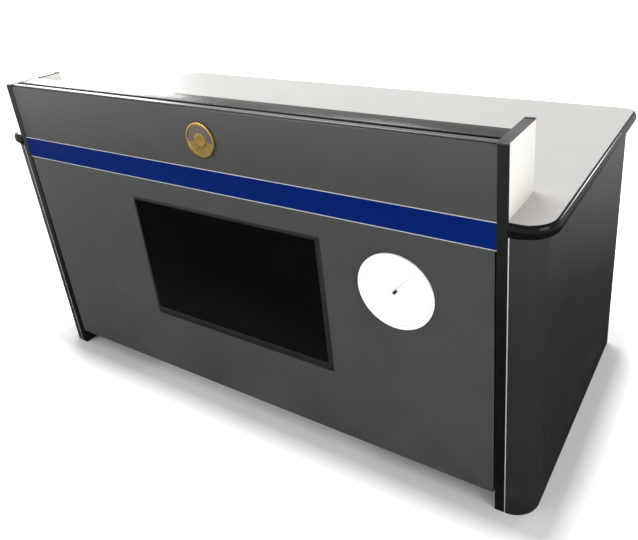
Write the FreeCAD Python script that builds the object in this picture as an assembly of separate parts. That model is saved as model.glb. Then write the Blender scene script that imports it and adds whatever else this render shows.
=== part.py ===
import FreeCAD, Part
import math
import os

from FreeCAD import Vector

# Service counter desk: a raised customer front with a screen and a dial, a worktop and two pedestals.
# Row frame, in millimetres: X runs along the counter, to the right as the customer sees it, Y runs from the
# customer's side towards the operator, and Z is up from the floor. The origin is under the middle of the desk.
# A depth is counted from the front faces of the corner posts towards the operator.

# ---- driving dimensions ----
DESK_WIDTH = 1719.0           # over the worktop's edging
WORKTOP_TOP = 760.0
WORKTOP_THICK = 30.0
RISER_TOP = 920.0
EDGING_REACH = 9.5            # how far the rounded edging stands out from the board
BOARD_START = 7.0             # depth of the worktop board's front edge
BOARD_END = 794.0             # depth of its rear edge
FRONT_SIDE_RADIUS = 56.0      # worktop corners beside the posts
REAR_CORNER_RADIUS = 34.0

POST_OUTER = 774.0            # half the width over the posts
POST_WIDTH = 23.0
POST_FLANGE = 4.0
POST_WEB = 6.0
POST_DEPTH = 60.0

PANEL_SETBACK = 1.0           # front panels lie this far behind the posts' faces
PANEL_THICK = 16.0
PANEL_BOTTOM = 50.0
STRIPE_BOTTOM = 697.0
STRIPE_TOP = 758.0
STRIPE_TRIM = 2.0
LOWER_PANEL_GAP = 4.0         # dark gap between the lower panel and each post

RISER_DEPTH = 84.0
RETURN_LENGTH = 160.0
RETURN_THICK = 23.0
RETURN_INSET = 3.0            # the return's outer face lies this far inside the post's
RETURN_BOARD = 13.7           # the return's thickness in front of the riser's back panel
RETURN_END_TRIM = 3.0
RETURN_CAP = 2.5              # thickness of the caps on the returns
CAP_END = 14.0                # length of the black piece that closes each cap
CAP_THICK = 4.0
LIP_START = 4.0
GROOVE_START = 18.0
GROOVE_END = 31.0
GROOVE_DEPTH = 15.0
GROOVE_WALL = 1.5

SIDE_OUTER = 839.0            # half the width over the body sides
SIDE_THICK = 12.0
SIDE_REAR = 752.0
LIGHT_STRIP = 2.5

SCREEN_LEFT = -313.0
SCREEN_RIGHT = 321.0
SCREEN_BOTTOM = 252.0
SCREEN_TOP = 636.0
BEZEL_LEFT = 6.0
BEZEL_RIGHT = 14.0
BEZEL_BOTTOM = 21.0
BEZEL_TOP = 9.0
BEZEL_FLANGE = 4.0            # overlap on the panel round the cut-out

DIAL_X = 518.0
DIAL_Z = 543.5
DIAL_RADIUS = 96.0
DIAL_INNER = 87.0
DIAL_BODY = 91.5
DIAL_PROUD = 6.0              # the rim stands this far in front of the posts
DIAL_TILT = 47.0              # degrees the hands and hub cap stand above the horizontal

EMBLEM_X = -3.0
EMBLEM_Z = 836.0
EMBLEM_RADIUS = 46.0

BOARD = 16.0                  # pedestal boards
INNER_BOARD = 380.0           # half the knee space
FRONT_BOARD = 18.0            # drawer fronts and door
FRONTS_Y = 733.0              # depth of the inner faces of the drawer fronts and the door
PEDESTAL_BACK = 200.0
BASE_BOTTOM = 60.0
FRONTS_BOTTOM = 62.0
FRONTS_TOP = 726.0
FRONT_GAP = 3.0
BOX_DRAWER = 160.0            # front height of the two shallow drawers
TRAY_LENGTH = 480.0
TRAY_WALL = 12.0
TRAY_FLOOR = 6.0
SLIDE_SPACE = 13.0
SLIDE_HEIGHT = 44.0

HANDLE_LENGTH = 170.0
LOCK_RADIUS = 8.0
LOCK_X = -800.0
DOOR_LOCK_X = 402.0
DOOR_LOCK_Z = 600.0
DOOR_HANDLE_Z = 480.0
RUNNING_GAP = 0.05
HINGE_HEIGHTS = (150.0, 640.0)
HINGE_AXIS_X = 822.0
HINGE_AXIS_Y = 756.0
HINGE_KNUCKLE = 4.0
HINGE_PIN = 2.0
KNUCKLE_LENGTH = 20.0
GROMMET_X = 300.0
GROMMET_Y = 150.0
GROMMET_BORE = 27.0

# ---- worked out ----
FRONT = (DIAL_PROUD - BOARD_END - EDGING_REACH) / 2          # Y of the posts' front faces
BOARD_HALF = DESK_WIDTH / 2 - EDGING_REACH
BOARD_FRONT = FRONT + BOARD_START
BOARD_REAR = FRONT + BOARD_END
WORKTOP_BOTTOM = WORKTOP_TOP - WORKTOP_THICK
POST_INNER = POST_OUTER - POST_WIDTH
RETURN_OUTER = POST_OUTER - RETURN_INSET
RETURN_INNER = RETURN_OUTER - RETURN_THICK
SIDE_INNER = SIDE_OUTER - SIDE_THICK
LOCK_Z = FRONTS_TOP - BOX_DRAWER / 2
CLEAR = 0.3

UP = Vector(0, 0, 1)
BACK = Vector(0, 1, 0)


def at(depth):
    """The Y coordinate that lies this far behind the posts' front faces."""
    return FRONT + depth


def block(x0, x1, y0, y1, z0, z1):
    """A box from its two X, Y and Z limits, with Y counted from the posts' faces."""
    return Part.makeBox(x1 - x0, y1 - y0, z1 - z0, Vector(x0, at(y0), z0))


def rod(radius, x, y, z, length, direction):
    """A cylinder whose base centre has Y counted from the posts' faces."""
    return Part.makeCylinder(radius, length, Vector(x, at(y), z), direction)


def slab(points, z0, z1):
    """A prism over a plan outline of (x, depth) points."""
    wire = Part.makePolygon([Vector(x, at(y), z0) for x, y in points + points[:1]])
    return Part.Face(wire).extrude(Vector(0, 0, z1 - z0))


def mirrored(shape):
    """The same piece on the other side of the counter."""
    return shape.mirror(Vector(0, 0, 0), Vector(1, 0, 0))


def edges_along(shape, direction, test):
    """Straight edges parallel to a direction whose middle passes the test."""
    found = []
    for edge in shape.Edges:
        if edge.Curve.TypeId != "Part::GeomLine":
            continue
        run = edge.Vertexes[-1].Point - edge.Vertexes[0].Point
        if run.cross(direction).Length > 1e-6:
            continue
        if test(edge.CenterOfMass):
            found.append(edge)
    return found


def save(name, *solids):
    """Writes one piece, or a group of identical pieces, to its own file."""
    shape = solids[0] if len(solids) == 1 else Part.makeCompound(list(solids))
    shape.exportStep("parts/" + name + ".step")
    print(name, round(shape.Volume / 1000.0, 1), "cm3", "valid" if shape.isValid() else "NOT VALID")


# ---- customer front ----

def corner_post():
    outline = [
        (POST_INNER, 0.0),
        (POST_OUTER, 0.0),
        (POST_OUTER, POST_FLANGE),
        (POST_INNER + POST_WEB, POST_FLANGE),
        (POST_INNER + POST_WEB, POST_DEPTH),
        (POST_INNER, POST_DEPTH),
    ]
    post = slab(outline, 0.0, RISER_TOP - RETURN_CAP)
    nose = edges_along(post, UP, lambda p: p.y < FRONT + 1e-6)
    return post.makeFillet(1.2, nose)


def front_board(half_width, z0, z1):
    return block(-half_width, half_width, PANEL_SETBACK, PANEL_SETBACK + PANEL_THICK, z0, z1)


def upper_panel():
    panel = front_board(POST_INNER, STRIPE_TOP + STRIPE_TRIM / 2, RISER_TOP - CAP_THICK)
    top_z = RISER_TOP - CAP_THICK
    rounded = edges_along(
        panel, Vector(1, 0, 0), lambda p: p.z > top_z - 1e-6 and p.y < at(PANEL_SETBACK) + 1e-6
    )
    return panel.makeFillet(3.0, rounded)


def lower_panel():
    panel = front_board(POST_INNER - LOWER_PANEL_GAP, PANEL_BOTTOM, STRIPE_BOTTOM - STRIPE_TRIM / 2)
    window = block(
        SCREEN_LEFT + BEZEL_FLANGE, SCREEN_RIGHT - BEZEL_FLANGE,
        0.0, 2 * PANEL_THICK,
        SCREEN_BOTTOM + BEZEL_FLANGE, SCREEN_TOP - BEZEL_FLANGE,
    )
    dial_hole = rod(DIAL_BODY + CLEAR, DIAL_X, 0.0, DIAL_Z, 2 * PANEL_THICK, BACK)
    return panel.cut(window).cut(dial_hole)


def stripe_panel():
    return front_board(POST_INNER, STRIPE_BOTTOM + STRIPE_TRIM / 2, STRIPE_TOP - STRIPE_TRIM / 2)


def stripe_trims():
    strips = []
    for z in (STRIPE_BOTTOM, STRIPE_TOP):
        strips.append(
            block(-POST_INNER, POST_INNER, PANEL_SETBACK - 0.6, PANEL_SETBACK + PANEL_THICK,
                  z - STRIPE_TRIM / 2, z + STRIPE_TRIM / 2)
        )
    return strips


def cross_rails():
    """Two steel tubes that tie the posts together behind the front panels."""
    rails = []
    for z0 in (70.0, 650.0):
        outer = block(-POST_INNER, POST_INNER, 18.0, 48.0, z0, z0 + 40.0)
        inner = block(-POST_INNER, POST_INNER, 20.0, 46.0, z0 + 2.0, z0 + 38.0)
        rails.append(outer.cut(inner))
    return rails


# ---- riser ----

def riser_lip():
    half = RETURN_INNER
    lip = block(-half, half, LIP_START, GROOVE_START, RISER_TOP - CAP_THICK, RISER_TOP)
    nose = edges_along(
        lip, Vector(1, 0, 0), lambda p: p.z > RISER_TOP - 1e-6 and p.y < at(LIP_START) + 1e-6
    )
    return lip.makeFillet(1.5, nose)


def riser_channel():
    """An open-topped channel that takes a glass screen."""
    half = RETURN_INNER
    top = RISER_TOP - 1.0
    outer = block(-half, half, GROOVE_START, GROOVE_END, top - GROOVE_DEPTH, top)
    slot = block(
        -half, half, GROOVE_START + GROOVE_WALL, GROOVE_END - GROOVE_WALL,
        top - GROOVE_DEPTH + GROOVE_WALL, top,
    )
    return outer.cut(slot)


def riser_cap():
    half = RETURN_INNER
    cap = block(-half, half, GROOVE_END, RISER_DEPTH, RISER_TOP - CAP_THICK, RISER_TOP)
    rear = edges_along(
        cap, Vector(1, 0, 0), lambda p: p.z > RISER_TOP - 1e-6 and p.y > at(RISER_DEPTH) - 1e-6
    )
    return cap.makeFillet(1.5, rear)


def riser_back():
    half = RETURN_OUTER - RETURN_BOARD - CLEAR
    return block(-half, half, RISER_DEPTH - BOARD, RISER_DEPTH, WORKTOP_BOTTOM - 30.0, RISER_TOP - CAP_THICK)


def return_panel():
    outline = [
        (RETURN_OUTER, POST_FLANGE),
        (RETURN_OUTER, RETURN_LENGTH),
        (RETURN_INNER, RETURN_LENGTH),
        (RETURN_INNER, RISER_DEPTH),
        (RETURN_OUTER - RETURN_BOARD, RISER_DEPTH),
        (RETURN_OUTER - RETURN_BOARD, POST_FLANGE),
    ]
    return slab(outline, WORKTOP_BOTTOM, RISER_TOP - RETURN_CAP)


def return_cap():
    """The cap over a post and the return behind it: wider over the post."""
    end = RETURN_LENGTH + RETURN_END_TRIM - CAP_END
    outline = [
        (RETURN_INNER, 0.0),
        (POST_OUTER, 0.0),
        (POST_OUTER, POST_FLANGE),
        (RETURN_OUTER, POST_FLANGE + 3.0),
        (RETURN_OUTER, end),
        (RETURN_INNER, end),
    ]
    cap = slab(outline, RISER_TOP - RETURN_CAP, RISER_TOP)
    outer = edges_along(cap, BACK, lambda p: p.z > RISER_TOP - 1e-6 and p.x > RETURN_OUTER - 1e-6)
    return cap.makeFillet(0.8, outer)


def return_cap_end():
    """The black end piece that closes a return's cap."""
    end = RETURN_LENGTH + RETURN_END_TRIM
    piece = block(RETURN_INNER, RETURN_OUTER, end - CAP_END, end, RISER_TOP - RETURN_CAP, RISER_TOP)
    outer = edges_along(piece, BACK, lambda p: p.z > RISER_TOP - 1e-6 and p.x > RETURN_OUTER - 1e-6)
    return piece.makeFillet(0.8, outer)


def return_end_trim():
    """The light strip down the rear edge of a return."""
    return block(
        RETURN_INNER, RETURN_OUTER, RETURN_LENGTH, RETURN_LENGTH + RETURN_END_TRIM,
        WORKTOP_TOP + CLEAR, RISER_TOP - RETURN_CAP,
    )


# ---- worktop ----

def worktop_outline():
    """Half of the board's outer line, from the post to the middle of the operator's edge."""
    side, rear = BOARD_HALF, BOARD_REAR
    big, small = FRONT_SIDE_RADIUS, REAR_CORNER_RADIUS
    diagonal = math.sqrt(0.5)
    start = Vector(POST_OUTER + CLEAR, BOARD_FRONT, 0)
    big_centre = Vector(side - big, BOARD_FRONT + big, 0)
    small_centre = Vector(side - small, rear - small, 0)
    front_arc = Part.Arc(
        Vector(side - big, BOARD_FRONT, 0),
        big_centre + Vector(big * diagonal, -big * diagonal, 0),
        Vector(side, BOARD_FRONT + big, 0),
    )
    rear_arc = Part.Arc(
        Vector(side, rear - small, 0),
        small_centre + Vector(small * diagonal, small * diagonal, 0),
        Vector(side - small, rear, 0),
    )
    return [
        Part.LineSegment(start, Vector(side - big, BOARD_FRONT, 0)).toShape(),
        front_arc.toShape(),
        Part.LineSegment(Vector(side, BOARD_FRONT + big, 0), Vector(side, rear - small, 0)).toShape(),
        rear_arc.toShape(),
        Part.LineSegment(Vector(side - small, rear, 0), Vector(0, rear, 0)).toShape(),
    ]


def worktop_board():
    """The board is notched round the riser and its two returns."""
    notch_x = RETURN_OUTER + CLEAR
    return_x = RETURN_INNER - CLEAR
    return_y = at(RETURN_LENGTH + RETURN_END_TRIM + CLEAR)
    riser_y = at(RISER_DEPTH + CLEAR)
    notch = [
        Vector(0, riser_y, 0),
        Vector(return_x, riser_y, 0),
        Vector(return_x, return_y, 0),
        Vector(notch_x, return_y, 0),
        Vector(notch_x, BOARD_FRONT, 0),
        Vector(POST_OUTER + CLEAR, BOARD_FRONT, 0),
    ]
    edges = []
    for a, b in zip(notch, notch[1:]):
        edges.append(Part.LineSegment(a, b).toShape())
    edges += worktop_outline()
    edges.append(Part.LineSegment(Vector(0, BOARD_REAR, 0), Vector(0, riser_y, 0)).toShape())
    face = Part.Face(Part.Wire(Part.__sortEdges__(edges)))
    half = face.extrude(Vector(0, 0, WORKTOP_THICK))
    half.translate(Vector(0, 0, WORKTOP_BOTTOM))
    board = half.fuse(mirrored(half)).removeSplitter()
    for x in (-GROMMET_X, GROMMET_X):
        hole = rod(GROMMET_BORE + 3.0, x, GROMMET_Y, WORKTOP_BOTTOM - 1.0, 40.0, UP)
        sink = rod(GROMMET_BORE + 7.0, x, GROMMET_Y, WORKTOP_TOP - 3.0, 10.0, UP)
        board = board.cut(hole).cut(sink)
    return board


def edging_half():
    """A flattened half-round bead swept along the board's edge."""
    path = Part.Wire(worktop_outline())
    middle = Vector(POST_OUTER + CLEAR, BOARD_FRONT, 0)
    tall, out = WORKTOP_THICK / 2, EDGING_REACH
    top = middle + Vector(0, 0, tall)
    bottom = middle - Vector(0, 0, tall)
    oval = Part.Ellipse(top, middle + Vector(0, -out, 0), middle)
    bulge = Part.ArcOfEllipse(oval, 0.0, math.pi).toShape()
    profile = Part.Wire([bulge, Part.LineSegment(bottom, top).toShape()])
    bead = path.makePipeShell([profile], True, False, 2)
    bead.translate(Vector(0, 0, WORKTOP_TOP - tall))
    return bead


def worktop_edging():
    half = edging_half()
    return half.fuse(mirrored(half)).removeSplitter()


def grommet_ring(x):
    tube = rod(GROMMET_BORE + 3.0, x, GROMMET_Y, WORKTOP_BOTTOM - 6.0, WORKTOP_THICK + 6.0, UP)
    flange = rod(GROMMET_BORE + 7.0, x, GROMMET_Y, WORKTOP_TOP - 3.0, 3.0, UP)
    bore = rod(GROMMET_BORE, x, GROMMET_Y, WORKTOP_BOTTOM - 10.0, 60.0, UP)
    return tube.fuse(flange).cut(bore)


# ---- body sides ----

def side_panel():
    """A formed board: straight along the side, with a round corner up to the post."""
    start_x = POST_OUTER + LIGHT_STRIP
    outer = SIDE_OUTER - start_x
    inner = outer - SIDE_THICK
    diagonal = math.sqrt(0.5)
    centre = Vector(start_x, at(outer), 0)

    def corner(radius):
        a = centre + Vector(0, -radius, 0)
        m = centre + Vector(radius * diagonal, -radius * diagonal, 0)
        b = centre + Vector(radius, 0, 0)
        return a, Part.Arc(a, m, b).toShape(), b

    outer_a, outer_arc, outer_b = corner(outer)
    inner_a, inner_arc, inner_b = corner(inner)
    rear_outer = Vector(SIDE_OUTER, at(SIDE_REAR), 0)
    rear_inner = Vector(SIDE_INNER, at(SIDE_REAR), 0)
    wire = Part.Wire([
        outer_arc,
        Part.LineSegment(outer_b, rear_outer).toShape(),
        Part.LineSegment(rear_outer, rear_inner).toShape(),
        Part.LineSegment(rear_inner, inner_b).toShape(),
        inner_arc,
        Part.LineSegment(inner_a, outer_a).toShape(),
    ])
    return Part.Face(wire).extrude(Vector(0, 0, WORKTOP_BOTTOM))


def light_strip():
    return block(POST_OUTER, POST_OUTER + LIGHT_STRIP, 0.5, SIDE_THICK, 0.0, WORKTOP_BOTTOM)


# ---- pedestals ----

def inner_side():
    return block(INNER_BOARD, INNER_BOARD + BOARD, RISER_DEPTH, FRONTS_Y - 0.5, 25.0, WORKTOP_BOTTOM)


def base_board():
    return block(INNER_BOARD + BOARD, SIDE_INNER, PEDESTAL_BACK, FRONTS_Y - 0.5, BASE_BOTTOM, BASE_BOTTOM + BOARD)


def back_board():
    return block(INNER_BOARD + BOARD, SIDE_INNER, PEDESTAL_BACK, PEDESTAL_BACK + TRAY_WALL,
                 BASE_BOTTOM + BOARD, WORKTOP_BOTTOM)


def plinth():
    return block(INNER_BOARD + BOARD, SIDE_INNER, 690.0, 690.0 + BOARD, 4.0, BASE_BOTTOM)


def shelf():
    return block(INNER_BOARD + BOARD, SIDE_INNER, PEDESTAL_BACK + TRAY_WALL, 690.0, 390.0, 390.0 + BOARD)


def levelling_feet():
    feet = []
    middle = INNER_BOARD + BOARD / 2
    for x in (-middle, middle):
        for y in (110.0, 660.0):
            pad = Part.makeCone(20.0, 14.0, 8.0, Vector(x, at(y), 0.0), UP)
            feet.append(pad.fuse(rod(4.0, x, y, 4.0, 21.0, UP)))
    return feet


def cable_tray():
    """An open steel trough that hangs from the worktop by its front wall."""
    outer = block(-340.0, 340.0, 92.0, 200.0, 640.0, 700.0)
    inside = block(-337.0, 337.0, 95.0, 197.0, 643.0, 701.0)
    hanger = block(-340.0, 340.0, 92.0, 95.0, 700.0, WORKTOP_BOTTOM)
    return outer.cut(inside).fuse(hanger).removeSplitter()


# ---- drawers ----

def bow_handle(length):
    """A round-cornered bar on two feet, standing off along +Y from the origin and lying along X."""
    stand_off, bar = 30.0, 10.0
    bow = Part.makeBox(length, stand_off, bar, Vector(-length / 2, 0, -bar / 2))
    gap = Part.makeBox(length - 2 * bar, stand_off - bar, bar, Vector(-length / 2 + bar, 0, -bar / 2))
    bow = bow.cut(gap)
    corners = edges_along(bow, UP, lambda p: abs(p.y - stand_off) < 1e-6)
    return bow.makeFillet(8.0, corners)


def drawer_limits(number):
    """Bottom and top of a drawer front: two shallow drawers over a deep one."""
    top = FRONTS_TOP - (number - 1) * (BOX_DRAWER + FRONT_GAP)
    bottom = FRONTS_BOTTOM if number == 3 else top - BOX_DRAWER
    return bottom, top


def drawer_front(number):
    z0, z1 = drawer_limits(number)
    front = block(-SIDE_INNER + 2.0, -INNER_BOARD - 1.0, FRONTS_Y, FRONTS_Y + FRONT_BOARD, z0, z1)
    ring = edges_along(front, UP, lambda p: p.y > at(FRONTS_Y + FRONT_BOARD) - 1e-6)
    ring += edges_along(front, Vector(1, 0, 0), lambda p: p.y > at(FRONTS_Y + FRONT_BOARD) - 1e-6)
    front = front.makeFillet(1.0, ring)
    if number == 1:
        front = front.cut(rod(LOCK_RADIUS + RUNNING_GAP, LOCK_X, FRONTS_Y - 5.0, LOCK_Z, 40.0, BACK))
    return front


def tray_limits(number):
    z0, z1 = drawer_limits(number)
    return z0 + 22.0, z1 - 38.0


def drawer_tray(number):
    z0, z1 = tray_limits(number)
    x0 = -SIDE_INNER + SLIDE_SPACE
    x1 = -INNER_BOARD - BOARD - SLIDE_SPACE
    y0 = FRONTS_Y - TRAY_LENGTH
    outer = block(x0, x1, y0, FRONTS_Y, z0, z1)
    inside = block(x0 + TRAY_WALL, x1 - TRAY_WALL, y0 + TRAY_WALL, FRONTS_Y - TRAY_WALL, z0 + TRAY_FLOOR, z1 + 1.0)
    return outer.cut(inside)


def drawer_handle(number):
    top = drawer_limits(number)[1]
    handle = bow_handle(HANDLE_LENGTH)
    middle = -(SIDE_INNER + INNER_BOARD) / 2
    handle.translate(Vector(middle, at(FRONTS_Y + FRONT_BOARD), top - BOX_DRAWER / 2))
    return handle


def slide_z(number):
    z0, z1 = tray_limits(number)
    return (z0 + z1) / 2 - SLIDE_HEIGHT / 2


def slide_members(number, moving):
    """The pair of rails for one drawer: the moving ones on the tray, or the fixed ones on the carcass."""
    z0 = slide_z(number)
    inset = 7.0 if moving else 0.0
    far = SIDE_INNER - SLIDE_SPACE
    near = INNER_BOARD + BOARD + SLIDE_SPACE
    y0 = FRONTS_Y - TRAY_LENGTH
    y1 = FRONTS_Y - 4.0
    if moving:
        spans = ((-far - 6.0, -far), (-near, -near + 6.0))
    else:
        spans = ((-SIDE_INNER, -SIDE_INNER + 6.0), (-INNER_BOARD - BOARD - 6.0, -INNER_BOARD - BOARD))
    return [block(a, b, y0, y1, z0 + inset, z0 + SLIDE_HEIGHT - inset) for a, b in spans]


def lock_barrel(x, z):
    """A cam lock's turning barrel: flange outside, blind key slot in its face."""
    y0 = FRONTS_Y + 0.5
    y1 = FRONTS_Y + FRONT_BOARD
    barrel = rod(LOCK_RADIUS, x, y0, z, y1 - y0 + 1.0, BACK)
    flange = rod(LOCK_RADIUS + 2.5, x, y1 + 0.2, z, 2.5, BACK)
    slot = block(x - 0.9, x + 0.9, y1 - 4.0, y1 + 5.0, z - 4.5, z + 4.5)
    return barrel.fuse(flange).cut(slot)


# ---- door ----

def door_panel():
    door = block(INNER_BOARD + 1.0, SIDE_INNER - 2.0, FRONTS_Y, FRONTS_Y + FRONT_BOARD, FRONTS_BOTTOM, FRONTS_TOP)
    ring = edges_along(door, UP, lambda p: p.y > at(FRONTS_Y + FRONT_BOARD) - 1e-6)
    ring += edges_along(door, Vector(1, 0, 0), lambda p: p.y > at(FRONTS_Y + FRONT_BOARD) - 1e-6)
    door = door.makeFillet(1.0, ring)
    return door.cut(rod(LOCK_RADIUS + RUNNING_GAP, DOOR_LOCK_X, FRONTS_Y - 5.0, DOOR_LOCK_Z, 40.0, BACK))


def door_handle():
    handle = bow_handle(HANDLE_LENGTH)
    handle.rotate(Vector(0, 0, 0), BACK, 90.0)
    handle.translate(Vector(DOOR_LOCK_X, at(FRONTS_Y + FRONT_BOARD), DOOR_HANDLE_Z))
    return handle


def knuckle(z, length):
    return rod(HINGE_KNUCKLE, HINGE_AXIS_X, HINGE_AXIS_Y, z, length, UP)


def door_leaf(z):
    """The hinge leaf on the door, with the middle knuckle."""
    face = FRONTS_Y + FRONT_BOARD
    leaf = block(HINGE_AXIS_X - 32.0, HINGE_AXIS_X, face, face + 2.0, z - 9.7, z + 9.7)
    body = leaf.fuse(knuckle(z - 9.7, 19.4))
    return body.cut(rod(HINGE_PIN + RUNNING_GAP, HINGE_AXIS_X, HINGE_AXIS_Y, z - 50.0, 100.0, UP))


def carcass_leaf(z):
    """The hinge leaf on the body side's rear edge, with the outer knuckles and the pin."""
    parts = rod(HINGE_PIN, HINGE_AXIS_X, HINGE_AXIS_Y, z - 30.0, 60.0, UP)
    for z0 in (z - 30.0, z + 10.0):
        parts = parts.fuse(knuckle(z0, KNUCKLE_LENGTH))
        arm = block(HINGE_AXIS_X + 1.0, SIDE_OUTER - 1.0, SIDE_REAR, SIDE_REAR + 2.0, z0, z0 + KNUCKLE_LENGTH)
        parts = parts.fuse(arm)
    strap = block(SIDE_INNER, SIDE_OUTER - 1.0, SIDE_REAR, SIDE_REAR + 2.0, z - 30.0, z + 30.0)
    return parts.fuse(strap).removeSplitter()


# ---- screen ----

def display_bezel():
    z0, z1 = SCREEN_BOTTOM, SCREEN_TOP
    flange = block(SCREEN_LEFT, SCREEN_RIGHT, 0.0, PANEL_SETBACK, z0, z1)
    inset = BEZEL_FLANGE + CLEAR
    body = block(SCREEN_LEFT + inset, SCREEN_RIGHT - inset, PANEL_SETBACK, 14.0, z0 + inset, z1 - inset)
    opening = block(
        SCREEN_LEFT + BEZEL_LEFT, SCREEN_RIGHT - BEZEL_RIGHT, -1.0, 15.0,
        z0 + BEZEL_BOTTOM, z1 - BEZEL_TOP,
    )
    return flange.fuse(body).cut(opening)


def display_glass():
    return block(
        SCREEN_LEFT + BEZEL_LEFT, SCREEN_RIGHT - BEZEL_RIGHT, 1.5, 5.0,
        SCREEN_BOTTOM + BEZEL_BOTTOM, SCREEN_TOP - BEZEL_TOP,
    )


def monitor_body():
    shallow = block(SCREEN_LEFT + 8.0, SCREEN_RIGHT - 8.0, 14.0, 34.0, SCREEN_BOTTOM + 8.0, SCREEN_TOP - 8.0)
    deep = block(-170.0, 178.0, 34.0, 56.0, 300.0, 560.0)
    panel = block(
        SCREEN_LEFT + BEZEL_LEFT + 1.0, SCREEN_RIGHT - BEZEL_RIGHT - 1.0, 5.0, 14.0,
        SCREEN_BOTTOM + BEZEL_BOTTOM + 1.0, SCREEN_TOP - BEZEL_TOP - 1.0,
    )
    return shallow.fuse(deep).fuse(panel).removeSplitter()


def monitor_bracket():
    """A steel strap behind the monitor, bent forward to the two cross rails."""
    strap = block(-46.0, 54.0, 56.0, 59.0, 70.0, 690.0)
    ears = block(-46.0, 54.0, 48.0, 56.0, 70.0, 110.0).fuse(block(-46.0, 54.0, 48.0, 56.0, 650.0, 690.0))
    return strap.fuse(ears).removeSplitter()


# ---- dial ----

def dial_rim():
    flange = rod(DIAL_RADIUS, DIAL_X, -DIAL_PROUD, DIAL_Z, DIAL_PROUD + 1.0, BACK)
    round_edges = [e for e in flange.Edges if abs(e.CenterOfMass.y - at(-DIAL_PROUD)) < 1e-6 and e.Closed]
    flange = flange.makeFillet(3.0, round_edges)
    body = rod(DIAL_BODY, DIAL_X, 1.0, DIAL_Z, 21.0, BACK)
    bore = rod(DIAL_INNER, DIAL_X, -10.0, DIAL_Z, 60.0, BACK)
    return flange.fuse(body).cut(bore)


def dial_face():
    disc = rod(DIAL_INNER, DIAL_X, -0.5, DIAL_Z, 2.0, BACK)
    return disc.cut(rod(3.0, DIAL_X, -5.0, DIAL_Z, 20.0, BACK))


def dial_movement():
    """A closed drive unit behind the face, with the arbor that carries the hands."""
    case = block(DIAL_X - 28.0, DIAL_X + 28.0, 1.5, 17.0, DIAL_Z - 28.0, DIAL_Z + 28.0)
    return case.fuse(rod(1.6, DIAL_X, -3.0, DIAL_Z, 5.0, BACK))


def hand(length, tail, width, y0, y1):
    """A slender hand with a round boss, lying along +X before it is turned to its place."""
    outline = [
        Vector(-tail, at(y0), -width / 2),
        Vector(length, at(y0), -width / 4),
        Vector(length, at(y0), width / 4),
        Vector(-tail, at(y0), width / 2),
    ]
    wire = Part.makePolygon(outline + outline[:1])
    blade = Part.Face(wire).extrude(Vector(0, y1 - y0, 0))
    boss = Part.makeCylinder(3.6, y1 - y0, Vector(0, at(y0), 0), BACK)
    bore = Part.makeCylinder(1.6 + RUNNING_GAP, 30.0, Vector(0, at(y0) - 10.0, 0), BACK)
    return blade.fuse(boss).removeSplitter().cut(bore)


def placed_hand(shape, degrees):
    shape.rotate(Vector(0, 0, 0), BACK, -degrees)
    shape.translate(Vector(DIAL_X, 0, DIAL_Z))
    return shape


def hub_cap():
    """The dark oblong cap over the arbor."""
    half, radius = 3.6, 3.4
    block_shape = Part.makeBox(2 * half, 1.8, 2 * radius, Vector(-half, at(-5.0), -radius))
    for x in (-half, half):
        block_shape = block_shape.fuse(Part.makeCylinder(radius, 1.8, Vector(x, at(-5.0), 0), BACK))
    return placed_hand(block_shape.removeSplitter(), DIAL_TILT)


# ---- emblem ----

def emblem():
    plate = rod(EMBLEM_RADIUS, EMBLEM_X, -4.0, EMBLEM_Z, 5.0, BACK)
    dish = rod(EMBLEM_RADIUS - 6.0, EMBLEM_X, -5.0, EMBLEM_Z, 2.5, BACK)
    boss = rod(EMBLEM_RADIUS - 20.0, EMBLEM_X, -4.5, EMBLEM_Z, 3.0, BACK)
    return plate.cut(dish).fuse(boss)


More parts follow.
